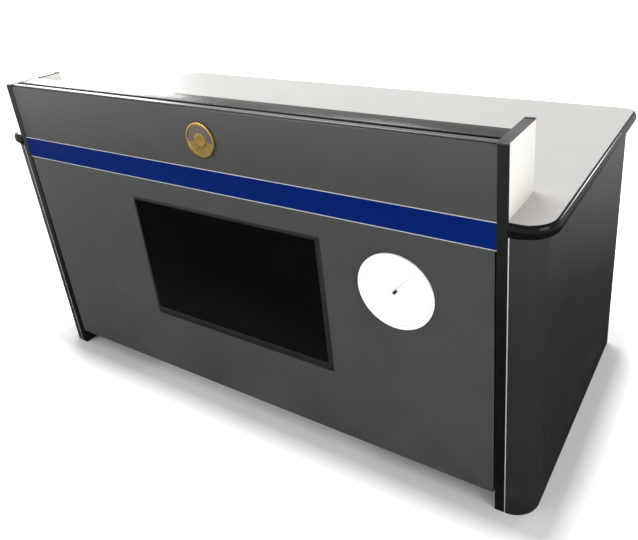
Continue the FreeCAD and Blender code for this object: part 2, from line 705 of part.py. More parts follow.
def main():
    os.makedirs("parts", exist_ok=True)

    save("left_corner_post", mirrored(corner_post()))
    save("right_corner_post", corner_post())
    save("front_upper_panel", upper_panel())
    save("front_stripe_panel", stripe_panel())
    save("front_lower_panel", lower_panel())
    save("stripe_trims", *stripe_trims())
    save("front_cross_rails", *cross_rails())

    save("riser_front_lip", riser_lip())
    save("riser_channel", riser_channel())
    save("riser_top_cap", riser_cap())
    save("riser_back_panel", riser_back())
    save("left_return_panel", mirrored(return_panel()))
    save("right_return_panel", return_panel())
    save("return_caps", return_cap(), mirrored(return_cap()))
    save("return_cap_ends", return_cap_end(), mirrored(return_cap_end()))
    save("return_end_trims", return_end_trim(), mirrored(return_end_trim()))

    save("worktop_board", worktop_board())
    save("worktop_edging", worktop_edging())
    save("grommet_rings", grommet_ring(-GROMMET_X), grommet_ring(GROMMET_X))

    save("left_side_panel", mirrored(side_panel()))
    save("right_side_panel", side_panel())
    save("side_light_strips", light_strip(), mirrored(light_strip()))

    save("left_inner_side", mirrored(inner_side()))
    save("right_inner_side", inner_side())
    save("pedestal_base_boards", base_board(), mirrored(base_board()))
    save("pedestal_back_boards", back_board(), mirrored(back_board()))
    save("pedestal_plinths", plinth(), mirrored(plinth()))
    save("cabinet_shelf", shelf())
    save("levelling_feet", *levelling_feet())
    save("cable_tray", cable_tray())

    fixed_slides = []
    for number in (1, 2, 3):
        name = "drawer_" + str(number)
        save(name + "_front", drawer_front(number))
        save(name + "_tray", drawer_tray(number))
        save(name + "_handle", drawer_handle(number))
        save(name + "_runners", *slide_members(number, True))
        fixed_slides += slide_members(number, False)
    save("drawer_slides", *fixed_slides)
    save("drawer_lock", lock_barrel(LOCK_X, LOCK_Z))

    save("door_panel", door_panel())
    save("door_handle", door_handle())
    save("door_lock", lock_barrel(DOOR_LOCK_X, DOOR_LOCK_Z))
    save("door_hinge_leaves", *[door_leaf(z) for z in HINGE_HEIGHTS])
    save("body_hinge_leaves", *[carcass_leaf(z) for z in HINGE_HEIGHTS])

    save("display_bezel", display_bezel())
    save("display_glass", display_glass())
    save("monitor_body", monitor_body())
    save("monitor_bracket", monitor_bracket())

    save("dial_rim", dial_rim())
    save("dial_face", dial_face())
    save("dial_movement", dial_movement())
    save("hour_hand", placed_hand(hand(46.0, 10.0, 5.0, -1.9, -1.1), DIAL_TILT))
    save("minute_hand", placed_hand(hand(70.0, 14.0, 4.0, -3.2, -2.4), DIAL_TILT))
    save("dial_hub_cap", hub_cap())
    save("emblem_plate", emblem())


main()
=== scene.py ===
import math

import bmesh
import bpy
from mathutils import Matrix, Vector


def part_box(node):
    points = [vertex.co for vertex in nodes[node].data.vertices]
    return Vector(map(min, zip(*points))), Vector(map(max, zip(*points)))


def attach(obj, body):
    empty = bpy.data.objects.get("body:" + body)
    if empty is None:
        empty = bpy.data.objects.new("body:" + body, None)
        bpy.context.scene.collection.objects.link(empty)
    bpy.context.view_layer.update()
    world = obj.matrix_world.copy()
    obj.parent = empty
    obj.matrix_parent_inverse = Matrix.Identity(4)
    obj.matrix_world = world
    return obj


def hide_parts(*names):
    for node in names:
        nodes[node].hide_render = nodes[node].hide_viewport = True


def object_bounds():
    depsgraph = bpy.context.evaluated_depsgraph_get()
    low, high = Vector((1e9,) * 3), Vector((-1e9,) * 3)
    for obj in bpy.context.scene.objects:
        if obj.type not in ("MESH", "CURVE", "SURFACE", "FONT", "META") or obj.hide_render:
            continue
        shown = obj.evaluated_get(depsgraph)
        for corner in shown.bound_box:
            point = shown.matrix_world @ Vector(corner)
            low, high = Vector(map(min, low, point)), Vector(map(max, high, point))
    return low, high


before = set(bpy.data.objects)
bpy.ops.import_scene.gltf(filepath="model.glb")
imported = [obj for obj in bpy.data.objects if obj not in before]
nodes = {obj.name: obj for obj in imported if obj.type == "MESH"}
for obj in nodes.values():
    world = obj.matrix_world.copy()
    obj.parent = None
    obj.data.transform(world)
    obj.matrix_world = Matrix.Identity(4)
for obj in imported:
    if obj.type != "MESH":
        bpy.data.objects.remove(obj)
cadLow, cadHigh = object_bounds()   # the CAD box, before anything is replaced
print("frame loaded:", len(nodes), "nodes")


# small helpers for modelling

def clearPick():
    if bpy.context.mode != "OBJECT":
        bpy.ops.object.mode_set(mode="OBJECT")
    bpy.ops.object.select_all(action="DESELECT")


def workOn(piece):
    clearPick()
    piece.select_set(True)
    bpy.context.view_layer.objects.active = piece


def bakePlace(piece):
    # puts the place, turn and size into the mesh, so the object sits at the origin
    workOn(piece)
    bpy.ops.object.transform_apply(location=True, rotation=True, scale=True)


def addBlock(name, low, high):
    clearPick()
    low, high = Vector(low), Vector(high)
    bpy.ops.mesh.primitive_cube_add(size=1, location=(low + high) / 2)
    piece = bpy.context.object
    piece.name = name
    piece.scale = high - low
    bakePlace(piece)
    return piece


def addDisc(name, radius, depth, centre, sides=96, facing="Y"):
    clearPick()
    turns = {"X": (0, math.pi / 2, 0), "Y": (math.pi / 2, 0, 0), "Z": (0, 0, 0)}
    bpy.ops.mesh.primitive_cylinder_add(
        vertices=sides, radius=radius, depth=depth, location=centre, rotation=turns[facing]
    )
    piece = bpy.context.object
    piece.name = name
    bakePlace(piece)
    return piece


def copyNode(node, name):
    # a worked copy of a CAD piece: loose triangles merged back into flat faces
    clearPick()
    piece = nodes[node].copy()
    piece.data = nodes[node].data.copy()
    for key in list(piece.keys()):
        del piece[key]
    piece.parent = None
    piece.name = name
    bpy.context.scene.collection.objects.link(piece)
    workOn(piece)
    bpy.ops.object.mode_set(mode="EDIT")
    bpy.ops.mesh.select_all(action="SELECT")
    bpy.ops.mesh.remove_doubles(threshold=0.00001)
    bpy.ops.mesh.dissolve_limited(angle_limit=math.radians(0.5))
    bpy.ops.object.mode_set(mode="OBJECT")
    return piece


def pickFaces(piece, test):
    # leaves the piece in edit mode with the faces that pass the test selected
    workOn(piece)
    bpy.ops.object.mode_set(mode="EDIT")
    bpy.ops.mesh.select_mode(type="FACE")
    bpy.ops.mesh.select_all(action="DESELECT")
    shape = bmesh.from_edit_mesh(piece.data)
    for face in shape.faces:
        if test(face.calc_center_median(), face.normal):
            face.select_set(True)
    bmesh.update_edit_mesh(piece.data)


def pickEdges(piece, test):
    workOn(piece)
    bpy.ops.object.mode_set(mode="EDIT")
    bpy.ops.mesh.select_mode(type="EDGE")
    bpy.ops.mesh.select_all(action="DESELECT")
    shape = bmesh.from_edit_mesh(piece.data)
    for edge in shape.edges:
        a, b = (v.co for v in edge.verts)
        if test(a, b):
            edge.select_set(True)
    bmesh.update_edit_mesh(piece.data)


def pickAll(piece):
    workOn(piece)
    bpy.ops.object.mode_set(mode="EDIT")
    bpy.ops.mesh.select_all(action="SELECT")


def leaveEdit():
    bpy.ops.object.mode_set(mode="OBJECT")


def stepFace(width, shift):
    # insets the picked face and moves its middle
    bpy.ops.mesh.inset(thickness=width, depth=0)
    bpy.ops.transform.translate(value=shift)


def soften(piece, width, steps=3, angle=30):
    workOn(piece)
    bevel = piece.modifiers.new("edges", "BEVEL")
    bevel.width = width
    bevel.segments = steps
    bevel.limit_method = "ANGLE"
    bevel.angle_limit = math.radians(angle)
    bevel.harden_normals = False
    bpy.ops.object.modifier_apply(modifier=bevel.name)


def carve(piece, cutter):
    # cuts one shape out of another and throws the cutter away
    workOn(piece)
    cut = piece.modifiers.new("cut", "BOOLEAN")
    cut.operation = "DIFFERENCE"
    cut.solver = "EXACT"
    cut.object = cutter
    bpy.ops.object.modifier_apply(modifier=cut.name)
    bpy.data.objects.remove(cutter)


def joinPieces(name, pieces):
    clearPick()
    for piece in pieces:
        piece.select_set(True)
    bpy.context.view_layer.objects.active = pieces[0]
    bpy.ops.object.join()
    bpy.context.object.name = name
    return bpy.context.object


def fixNormals(piece):
    workOn(piece)
    bpy.ops.object.mode_set(mode="EDIT")
    bpy.ops.mesh.select_all(action="SELECT")
    bpy.ops.mesh.remove_doubles(threshold=0.000005)
    bpy.ops.mesh.normals_make_consistent(inside=False)
    bpy.ops.object.mode_set(mode="OBJECT")


def finishPiece(piece, body, finish, standsFor=(), smooth=32):
    workOn(piece)
    bpy.ops.object.shade_smooth_by_angle(angle=math.radians(smooth))
    piece.data.materials.clear()
    piece.data.materials.append(finish)
    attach(piece, body)
    if standsFor:
        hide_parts(*standsFor)
    return piece


# shared surface effects, as node groups

def newGroup(name, inputs, outputs):
    group = bpy.data.node_groups.new(name, "ShaderNodeTree")
    for label, kind, value in inputs:
        socket = group.interface.new_socket(name=label, in_out="INPUT", socket_type=kind)
        socket.default_value = value
    for label, kind in outputs:
        group.interface.new_socket(name=label, in_out="OUTPUT", socket_type=kind)
    return group, group.nodes.new("NodeGroupInput"), group.nodes.new("NodeGroupOutput")


def addMath(tree, operation, first, second, clamp=False):
    node = tree.nodes.new("ShaderNodeMath")
    node.operation = operation
    node.use_clamp = clamp
    for index, value in enumerate((first, second)):
        if isinstance(value, (int, float)):
            node.inputs[index].default_value = value
        else:
            tree.links.new(value, node.inputs[index])
    return node.outputs[0]


def addNoise(tree, vector, scale, detail=4.0, roughness=0.5):
    noise = tree.nodes.new("ShaderNodeTexNoise")
    noise.inputs["Detail"].default_value = detail
    noise.inputs["Roughness"].default_value = roughness
    tree.links.new(vector, noise.inputs["Vector"])
    if isinstance(scale, (int, float)):
        noise.inputs["Scale"].default_value = scale
    else:
        tree.links.new(scale, noise.inputs["Scale"])
    return noise.outputs["Fac"]


def addRange(tree, value, low, high, newLow, newHigh):
    node = tree.nodes.new("ShaderNodeMapRange")
    for index, item in enumerate((value, low, high, newLow, newHigh)):
        if isinstance(item, (int, float)):
            node.inputs[index].default_value = item
        else:
            tree.links.new(item, node.inputs[index])
    return node.outputs[0]


def addMix(tree, factor, first, second):
    node = tree.nodes.new("ShaderNodeMix")
    node.data_type = "RGBA"
    for socket, value in ((node.inputs[0], factor), (node.inputs[6], first), (node.inputs[7], second)):
        if isinstance(value, (int, float)):
            socket.default_value = value
        elif isinstance(value, (tuple, list)):
            socket.default_value = (*value, 1.0)
        else:
            tree.links.new(value, socket)
    return node.outputs[2]


def makeSmudges():
    # wiped-over marks: where a hand or a cloth has left the sheen uneven
    group, given, result = newGroup(
        "smudges",
        [("Vector", "NodeSocketVector", (0, 0, 0)), ("Scale", "NodeSocketFloat", 3.0)],
        [("Mask", "NodeSocketFloat")],
    )
    broad = addNoise(group, given.outputs["Vector"], given.outputs["Scale"], 5.0, 0.55)
    finer = addMath(group, "MULTIPLY", given.outputs["Scale"], 6.0)
    fine = addNoise(group, given.outputs["Vector"], finer, 3.0, 0.6)
    mixed = addMath(group, "MULTIPLY", broad, fine)
    group.links.new(addRange(group, mixed, 0.16, 0.38, 0.0, 1.0), result.inputs["Mask"])
    return group


def makeOrangePeel():
    # the slight ripple of sprayed or rolled paint
    group, given, result = newGroup(
        "orangePeel",
        [("Vector", "NodeSocketVector", (0, 0, 0)), ("Scale", "NodeSocketFloat", 400.0)],
        [("Height", "NodeSocketFloat")],
    )
    group.links.new(
        addNoise(group, given.outputs["Vector"], given.outputs["Scale"], 2.0, 0.45), result.inputs["Height"]
    )
    return group


def makeGrain():
    # fine speckle of a printed laminate or moulded texture
    group, given, result = newGroup(
        "fineGrain",
        [("Vector", "NodeSocketVector", (0, 0, 0)), ("Scale", "NodeSocketFloat", 900.0)],
        [("Mask", "NodeSocketFloat"), ("Height", "NodeSocketFloat")],
    )
    speckle = addNoise(group, given.outputs["Vector"], given.outputs["Scale"], 2.0, 0.7)
    cells = group.nodes.new("ShaderNodeTexVoronoi")
    group.links.new(given.outputs["Vector"], cells.inputs["Vector"])
    group.links.new(given.outputs["Scale"], cells.inputs["Scale"])
    group.links.new(addRange(group, speckle, 0.35, 0.65, 0.0, 1.0), result.inputs["Mask"])
    group.links.new(addMath(group, "ADD", cells.outputs["Distance"], speckle), result.inputs["Height"])
    return group


def makeBrushing():
    # long parallel scratches; the stretch vector squeezes the noise across them
    group, given, result = newGroup(
        "brushing",
        [("Vector", "NodeSocketVector", (0, 0, 0)), ("Stretch", "NodeSocketVector", (4, 400, 400))],
        [("Mask", "NodeSocketFloat")],
    )
    scaled = group.nodes.new("ShaderNodeVectorMath")
    scaled.operation = "MULTIPLY"
    group.links.new(given.outputs["Vector"], scaled.inputs[0])
    group.links.new(given.outputs["Stretch"], scaled.inputs[1])
    group.links.new(addNoise(group, scaled.outputs[0], 1.0, 3.0, 0.6), result.inputs["Mask"])
    return group


def makeScuffs():
    # dust and shoe marks that gather near the floor
    group, given, result = newGroup(
        "floorScuffs",
        [("Vector", "NodeSocketVector", (0, 0, 0)), ("Height", "NodeSocketFloat", 0.16)],
        [("Mask", "NodeSocketFloat")],
    )
    split = group.nodes.new("ShaderNodeSeparateXYZ")
    group.links.new(given.outputs["Vector"], split.inputs[0])
    low = addRange(group, split.outputs["Z"], 0.0, given.outputs["Height"], 1.0, 0.0)
    patches = addNoise(group, given.outputs["Vector"], 9.0, 6.0, 0.65)
    streaky = addRange(group, patches, 0.42, 0.7, 0.0, 1.0)
    group.links.new(addMath(group, "MULTIPLY", low, streaky, True), result.inputs["Mask"])
    return group


def makeEdgeWear():
    # rubbed edges: strong where the surface turns sharply, broken up by noise
    group, given, result = newGroup(
        "edgeWear",
        [("Vector", "NodeSocketVector", (0, 0, 0)), ("Radius", "NodeSocketFloat", 0.0015),
         ("Scale", "NodeSocketFloat", 60.0)],
        [("Mask", "NodeSocketFloat")],
    )
    rounded = group.nodes.new("ShaderNodeBevel")
    rounded.samples = 4
    group.links.new(given.outputs["Radius"], rounded.inputs["Radius"])
    facing = group.nodes.new("ShaderNodeNewGeometry")
    compare = group.nodes.new("ShaderNodeVectorMath")
    compare.operation = "DOT_PRODUCT"
    group.links.new(rounded.outputs["Normal"], compare.inputs[0])
    group.links.new(facing.outputs["Normal"], compare.inputs[1])
    turned = addRange(group, compare.outputs["Value"], 0.998, 0.90, 0.0, 1.0)
    patches = addNoise(group, given.outputs["Vector"], given.outputs["Scale"], 4.0, 0.6)
    broken = addRange(group, patches, 0.38, 0.62, 0.0, 1.0)
    group.links.new(addMath(group, "MULTIPLY", turned, broken, True), result.inputs["Mask"])
    return group


smudges = makeSmudges()
edgeWear = makeEdgeWear()
orangePeel = makeOrangePeel()
fineGrain = makeGrain()
brushing = makeBrushing()
floorScuffs = makeScuffs()


def startFinish(name):
    finish = bpy.data.materials.new(name)
    finish.use_nodes = True
    tree = finish.node_tree
    shader = tree.nodes["Principled BSDF"]
    place = tree.nodes.new("ShaderNodeTexCoord").outputs["Object"]
    return finish, tree, shader, place


def useGroup(tree, group, place, **values):
    node = tree.nodes.new("ShaderNodeGroup")
    node.node_tree = group
    tree.links.new(place, node.inputs["Vector"])
    for key, value in values.items():
        node.inputs[key].default_value = value
    return node


def addBump(tree, shader, height, strength, distance):
    bump = tree.nodes.new("ShaderNodeBump")
    bump.inputs["Strength"].default_value = strength
    bump.inputs["Distance"].default_value = distance
    tree.links.new(height, bump.inputs["Height"])
    tree.links.new(bump.outputs["Normal"], shader.inputs["Normal"])


# finishes: each dictionary holds what a user would change

sheetBase = {
    "wear": 0.3, "wearScale": 60.0, "smudge": 0.5, "scuff": 0.0, "scuffHeight": 0.1, "scuffRough": 0.15,
    "dust": (0.1, 0.1, 0.1),
    "peelDepth": 0.0002, "specular": 0.5, "coat": 0.0, "coatRough": 0.1,
}


def coatedSheet(name, look):
    # painted or laminated sheet: slight ripple, wiped sheen, scuffs by the floor
    look = {**sheetBase, **look}
    finish, tree, shader, place = startFinish(name)
    marks = useGroup(tree, smudges, place, Scale=look["smudgeScale"]).outputs["Mask"]
    scuffed = useGroup(tree, floorScuffs, place, Height=look["scuffHeight"]).outputs["Mask"]
    wiped = addMix(tree, addMath(tree, "MULTIPLY", marks, look["smudge"]), look["colour"], look["wiped"])
    dusty = addMix(tree, addMath(tree, "MULTIPLY", scuffed, look["scuff"]), wiped, look["dust"])
    rubbed = useGroup(tree, edgeWear, place, Scale=look["wearScale"]).outputs["Mask"]
    colour = addMix(tree, addMath(tree, "MULTIPLY", rubbed, look["wear"]), dusty, look["bare"])
    tree.links.new(colour, shader.inputs["Base Color"])
    uneven = addRange(tree, marks, 0.0, 1.0, *look["rough"])
    tree.links.new(addMath(tree, "ADD", uneven, addMath(tree, "MULTIPLY", scuffed, look["scuffRough"]), True),
                   shader.inputs["Roughness"])
    peel = useGroup(tree, orangePeel, place, Scale=look["peelScale"]).outputs["Height"]
    addBump(tree, shader, peel, look["peel"], look["peelDepth"])
    shader.inputs["Specular IOR Level"].default_value = look["specular"]
    shader.inputs["Coat Weight"].default_value = look["coat"]
    shader.inputs["Coat Roughness"].default_value = look["coatRough"]
    return finish


boardBase = {"grainDepth": 0.00015, "specular": 0.5, "coat": 0.0, "coatRough": 0.1}


def grainyBoard(name, look):
    # laminate, melamine or moulded plastic with a fine grain
    look = {**boardBase, **look}
    finish, tree, shader, place = startFinish(name)
    grain = useGroup(tree, fineGrain, place, Scale=look["grainScale"])
    marks = useGroup(tree, smudges, place, Scale=look["smudgeScale"]).outputs["Mask"]
    speckled = addMix(tree, addMath(tree, "MULTIPLY", grain.outputs["Mask"], look["speckle"]),
                      look["colour"], look["fleck"])
    colour = addMix(tree, addMath(tree, "MULTIPLY", marks, look["smudge"]), speckled, look["wiped"])
    tree.links.new(colour, shader.inputs["Base Color"])
    tree.links.new(addRange(tree, marks, 0.0, 1.0, *look["rough"]),
                   shader.inputs["Roughness"])
    addBump(tree, shader, grain.outputs["Height"], look["bump"], look["grainDepth"])
    shader.inputs["Specular IOR Level"].default_value = look["specular"]
    shader.inputs["Coat Weight"].default_value = look["coat"]
    shader.inputs["Coat Roughness"].default_value = look["coatRough"]
    return finish


metalBase = {"dulled": 0.25, "lineLow": 0.3, "lineHigh": 0.7, "lineDepth": 0.0001, "metal": 1.0}


def brushedMetal(name, look):
    look = {**metalBase, **look}
    finish, tree, shader, place = startFinish(name)
    lines = useGroup(tree, brushing, place, Stretch=look["stretch"]).outputs["Mask"]
    marks = useGroup(tree, smudges, place, Scale=look["smudgeScale"]).outputs["Mask"]
    bright = addMix(tree, lines, look["dark"], look["light"])
    tree.links.new(addMix(tree, addMath(tree, "MULTIPLY", marks, look["dulled"]), bright, look["dull"]),
                   shader.inputs["Base Color"])
    tree.links.new(addRange(tree, lines, look["lineLow"], look["lineHigh"], *look["rough"]),
                   shader.inputs["Roughness"])
    addBump(tree, shader, lines, look["bump"], look["lineDepth"])
    shader.inputs["Metallic"].default_value = look["metal"]
    return finish


frontPaint = coatedSheet("frontPaint", {
    "colour": (0.045, 0.050, 0.048), "wiped": (0.053, 0.059, 0.057), "dust": (0.12, 0.12, 0.115),
    "bare": (0.16, 0.16, 0.15), "wear": 0.35,
    "smudgeScale": 2.2, "scuff": 0.25, "scuffHeight": 0.2,
    "rough": (0.34, 0.42), "peel": 0.12, "peelScale": 420.0,
})
# painted light: a lighter copy of the front paint, so the upper front shows the brighter light that falls on
# the top of the front
upperPaintPaintedLight = coatedSheet("upperPaintPaintedLight", {
    "colour": (0.056, 0.057, 0.053), "wiped": (0.064, 0.065, 0.061),
    "bare": (0.17, 0.17, 0.16), "wear": 0.35,
    "smudgeScale": 2.0,
    "rough": (0.30, 0.38), "peel": 0.12, "peelScale": 420.0,
})
bluePaint = coatedSheet("bluePaint", {
    "colour": (0.0008, 0.0115, 0.108), "wiped": (0.0011, 0.0145, 0.126),
    "bare": (0.02, 0.06, 0.3),
    "smudgeScale": 2.5,
    "rough": (0.34, 0.44), "peel": 0.10, "peelScale": 420.0, "specular": 0.012,
})
blackPaint = coatedSheet("blackPaint", {
    "colour": (0.0035, 0.0035, 0.0035), "wiped": (0.006, 0.006, 0.006), "dust": (0.06, 0.06, 0.06),
    "bare": (0.10, 0.10, 0.10), "wear": 0.35,
    "smudge": 0.6, "smudgeScale": 5.0, "scuff": 0.25, "scuffHeight": 0.12,
    "rough": (0.28, 0.36), "peel": 0.12, "peelScale": 500.0, "specular": 0.3,
})
capPaint = coatedSheet("capPaint", {
    "colour": (0.030, 0.028, 0.026), "wiped": (0.040, 0.038, 0.035),
    "bare": (0.2, 0.2, 0.19), "wear": 0.35,
    "smudge": 0.6, "smudgeScale": 4.0,
    "rough": (0.24, 0.34), "peel": 0.12, "peelScale": 500.0,
})
sideLaminate = coatedSheet("sideLaminate", {
    "colour": (0.019, 0.0185, 0.017), "wiped": (0.024, 0.0235, 0.022), "dust": (0.09, 0.09, 0.085),
    "bare": (0.12, 0.12, 0.11),
    "smudgeScale": 2.0, "scuff": 0.22, "scuffHeight": 0.16,
    "rough": (0.29, 0.32), "peel": 0.10, "peelScale": 380.0,
})
glossEdging = coatedSheet("glossEdging", {
    "colour": (0.004, 0.0038, 0.0036), "wiped": (0.007, 0.0068, 0.0066),
    "bare": (0.03, 0.03, 0.03), "wear": 0.2,
    "smudgeScale": 12.0,
    "rough": (0.12, 0.18), "peel": 0.06, "peelScale": 260.0, "specular": 0.19,
})
bezelPlastic = coatedSheet("bezelPlastic", {
    "colour": (0.013, 0.014, 0.014), "wiped": (0.018, 0.019, 0.019),
    "bare": (0.06, 0.06, 0.06),
    "smudge": 0.6, "smudgeScale": 9.0,
    "rough": (0.28, 0.36), "peel": 0.1, "peelScale": 900.0, "specular": 0.3,
})
screenGlass = coatedSheet("screenGlass", {
    "colour": (0.0022, 0.0022, 0.0023), "wiped": (0.0034, 0.0034, 0.0035),
    "bare": (0.01, 0.01, 0.01),
    "smudge": 0.6, "smudgeScale": 5.0,
    "rough": (0.10, 0.16), "peel": 0.0, "peelScale": 200.0, "specular": 0.05,
})
dialWhite = coatedSheet("dialWhite", {
    "colour": (0.93, 0.93, 0.93), "wiped": (0.90, 0.90, 0.89),
    "bare": (0.97, 0.97, 0.97),
    "smudge": 0.4, "smudgeScale": 14.0,
    "rough": (0.22, 0.32), "peel": 0.05, "peelScale": 300.0,
})
handLacquer = coatedSheet("handLacquer", {
    "colour": (0.90, 0.90, 0.90), "wiped": (0.88, 0.88, 0.88),
    "bare": (0.92, 0.92, 0.92), "wear": 0.2,
    "smudge": 0.4, "smudgeScale": 40.0,
    "rough": (0.36, 0.46), "peel": 0.05, "peelScale": 900.0,
})
darkEnamel = coatedSheet("darkEnamel", {
    "colour": (0.085, 0.062, 0.066), "wiped": (0.11, 0.085, 0.085),
    "bare": (0.2, 0.16, 0.15), "wear": 0.2,
    "smudgeScale": 60.0,
    "rough": (0.12, 0.2), "peel": 0.1, "peelScale": 900.0, "coat": 0.4, "coatRough": 0.06,
})
creamLaminate = grainyBoard("creamLaminate", {
    "colour": (0.76, 0.735, 0.695), "fleck": (0.71, 0.685, 0.645), "wiped": (0.785, 0.765, 0.73),
    "speckle": 0.3, "grainScale": 700.0, "smudge": 0.4, "smudgeScale": 5.0,
    "rough": (0.42, 0.5), "bump": 0.12,
})
worktopLaminate = grainyBoard("worktopLaminate", {
    "colour": (0.515, 0.503, 0.481), "fleck": (0.468, 0.457, 0.437), "wiped": (0.54, 0.527, 0.506),
    "speckle": 0.35, "grainScale": 650.0, "smudge": 0.5, "smudgeScale": 2.4,
    "rough": (0.34, 0.46), "bump": 0.14,
})
greyMelamine = grainyBoard("greyMelamine", {
    "colour": (0.085, 0.086, 0.083), "fleck": (0.11, 0.11, 0.108), "wiped": (0.1, 0.1, 0.098),
    "speckle": 0.5, "grainScale": 800.0, "smudge": 0.4, "smudgeScale": 4.0,
    "rough": (0.45, 0.58), "bump": 0.2,
})
doorLaminate = grainyBoard("doorLaminate", {
    "colour": (0.060, 0.062, 0.059), "fleck": (0.082, 0.084, 0.081), "wiped": (0.074, 0.076, 0.073),
    "speckle": 0.45, "grainScale": 760.0, "smudge": 0.5, "smudgeScale": 5.0,
    "rough": (0.36, 0.5), "bump": 0.16,
})
kickMelamine = grainyBoard("kickMelamine", {
    "colour": (0.014, 0.014, 0.014), "fleck": (0.03, 0.03, 0.03), "wiped": (0.028, 0.028, 0.027),
    "speckle": 0.5, "grainScale": 700.0, "smudge": 0.6, "smudgeScale": 7.0,
    "rough": (0.5, 0.65), "bump": 0.2,
})
trayMelamine = grainyBoard("trayMelamine", {
    "colour": (0.50, 0.49, 0.47), "fleck": (0.44, 0.43, 0.41), "wiped": (0.53, 0.52, 0.5),
    "speckle": 0.4, "grainScale": 800.0, "smudge": 0.4, "smudgeScale": 6.0,
    "rough": (0.45, 0.58), "bump": 0.2,
})
blackMoulding = grainyBoard("blackMoulding", {
    "colour": (0.008, 0.008, 0.008), "fleck": (0.016, 0.016, 0.016), "wiped": (0.014, 0.014, 0.014),
    "speckle": 0.5, "grainScale": 1400.0, "smudge": 0.4, "smudgeScale": 9.0,
    "rough": (0.42, 0.55), "bump": 0.3,
})
capMoulding = grainyBoard("capMoulding", {
    "colour": (0.11, 0.11, 0.108), "fleck": (0.13, 0.13, 0.128), "wiped": (0.125, 0.125, 0.122),
    "speckle": 0.5, "grainScale": 1400.0, "smudge": 0.4, "smudgeScale": 20.0,
    "rough": (0.42, 0.55), "bump": 0.25,
})
dialPaper = grainyBoard("dialPaper", {
    "colour": (0.81, 0.81, 0.81), "fleck": (0.79, 0.79, 0.79), "wiped": (0.83, 0.83, 0.83),
    "speckle": 0.3, "grainScale": 1600.0, "smudge": 0.3, "smudgeScale": 10.0,
    "rough": (0.55, 0.65), "bump": 0.05,
})
silverTrim = brushedMetal("silverTrim", {
    "light": (0.80, 0.80, 0.81), "dark": (0.62, 0.62, 0.64), "dull": (0.58, 0.58, 0.6),
    "stretch": (3.0, 600.0, 600.0), "smudgeScale": 8.0, "rough": (0.24, 0.38), "bump": 0.15, "metal": 0.45,
})
lipMetal = brushedMetal("lipMetal", {
    "light": (0.24, 0.237, 0.233), "dark": (0.16, 0.158, 0.155), "dull": (0.14, 0.138, 0.135),
    "stretch": (3.0, 600.0, 600.0), "smudgeScale": 6.0, "rough": (0.26, 0.40), "bump": 0.12,
})
zincPlate = brushedMetal("zincPlate", {
    "light": (0.62, 0.63, 0.64), "dark": (0.45, 0.46, 0.48), "dull": (0.36, 0.36, 0.37),
    "stretch": (90.0, 90.0, 90.0), "smudgeScale": 20.0, "rough": (0.3, 0.48), "bump": 0.1,
})
satinSteel = brushedMetal("satinSteel", {
    "light": (0.66, 0.66, 0.67), "dark": (0.52, 0.52, 0.53), "dull": (0.42, 0.42, 0.43),
    "stretch": (900.0, 40.0, 900.0), "smudgeScale": 24.0, "rough": (0.22, 0.36), "bump": 0.12,
})
lockChrome = brushedMetal("lockChrome", {
    "light": (0.78, 0.78, 0.79), "dark": (0.68, 0.68, 0.69), "dull": (0.55, 0.55, 0.56),
    "stretch": (500.0, 60.0, 500.0), "smudgeScale": 60.0, "rough": (0.08, 0.18), "bump": 0.06,
})
emblemBrass = brushedMetal("emblemBrass", {
    "light": (0.86, 0.61, 0.20), "dark": (0.62, 0.41, 0.11), "dull": (0.30, 0.19, 0.06),
    "stretch": (300.0, 40.0, 300.0), "smudgeScale": 45.0, "rough": (0.2, 0.38), "bump": 0.1,
})
print("finishes ready")

# pieces: each has what a user would change in one dictionary

def softCopy(node, body, finish, width=0.0006, steps=2):
    # the CAD piece with its sharp edges eased, as sanding or folding leaves them
    piece = copyNode(node, node + "_eased")
    soften(piece, width, steps)
    return finishPiece(piece, body, finish, (node,))


def twin(piece, name, shift=(0, 0, 0)):
    # another of the same piece, with its own mesh
    clearPick()
    copy = piece.copy()
    copy.data = piece.data.copy()
    copy.name = name
    copy.location = shift
    bpy.context.scene.collection.objects.link(copy)
    bakePlace(copy)
    return copy


def mirrorTwin(piece, name):
    copy = twin(piece, name)
    copy.scale = (-1, 1, 1)
    bakePlace(copy)
    fixNormals(copy)
    return copy


worktopLow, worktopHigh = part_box("worktop_board")
edgingLow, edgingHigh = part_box("worktop_edging")

beadLook = {"sides": 40, "frontCorner": 0.056, "rearCorner": 0.034, "turnSteps": 14, "clear": 0.0003}


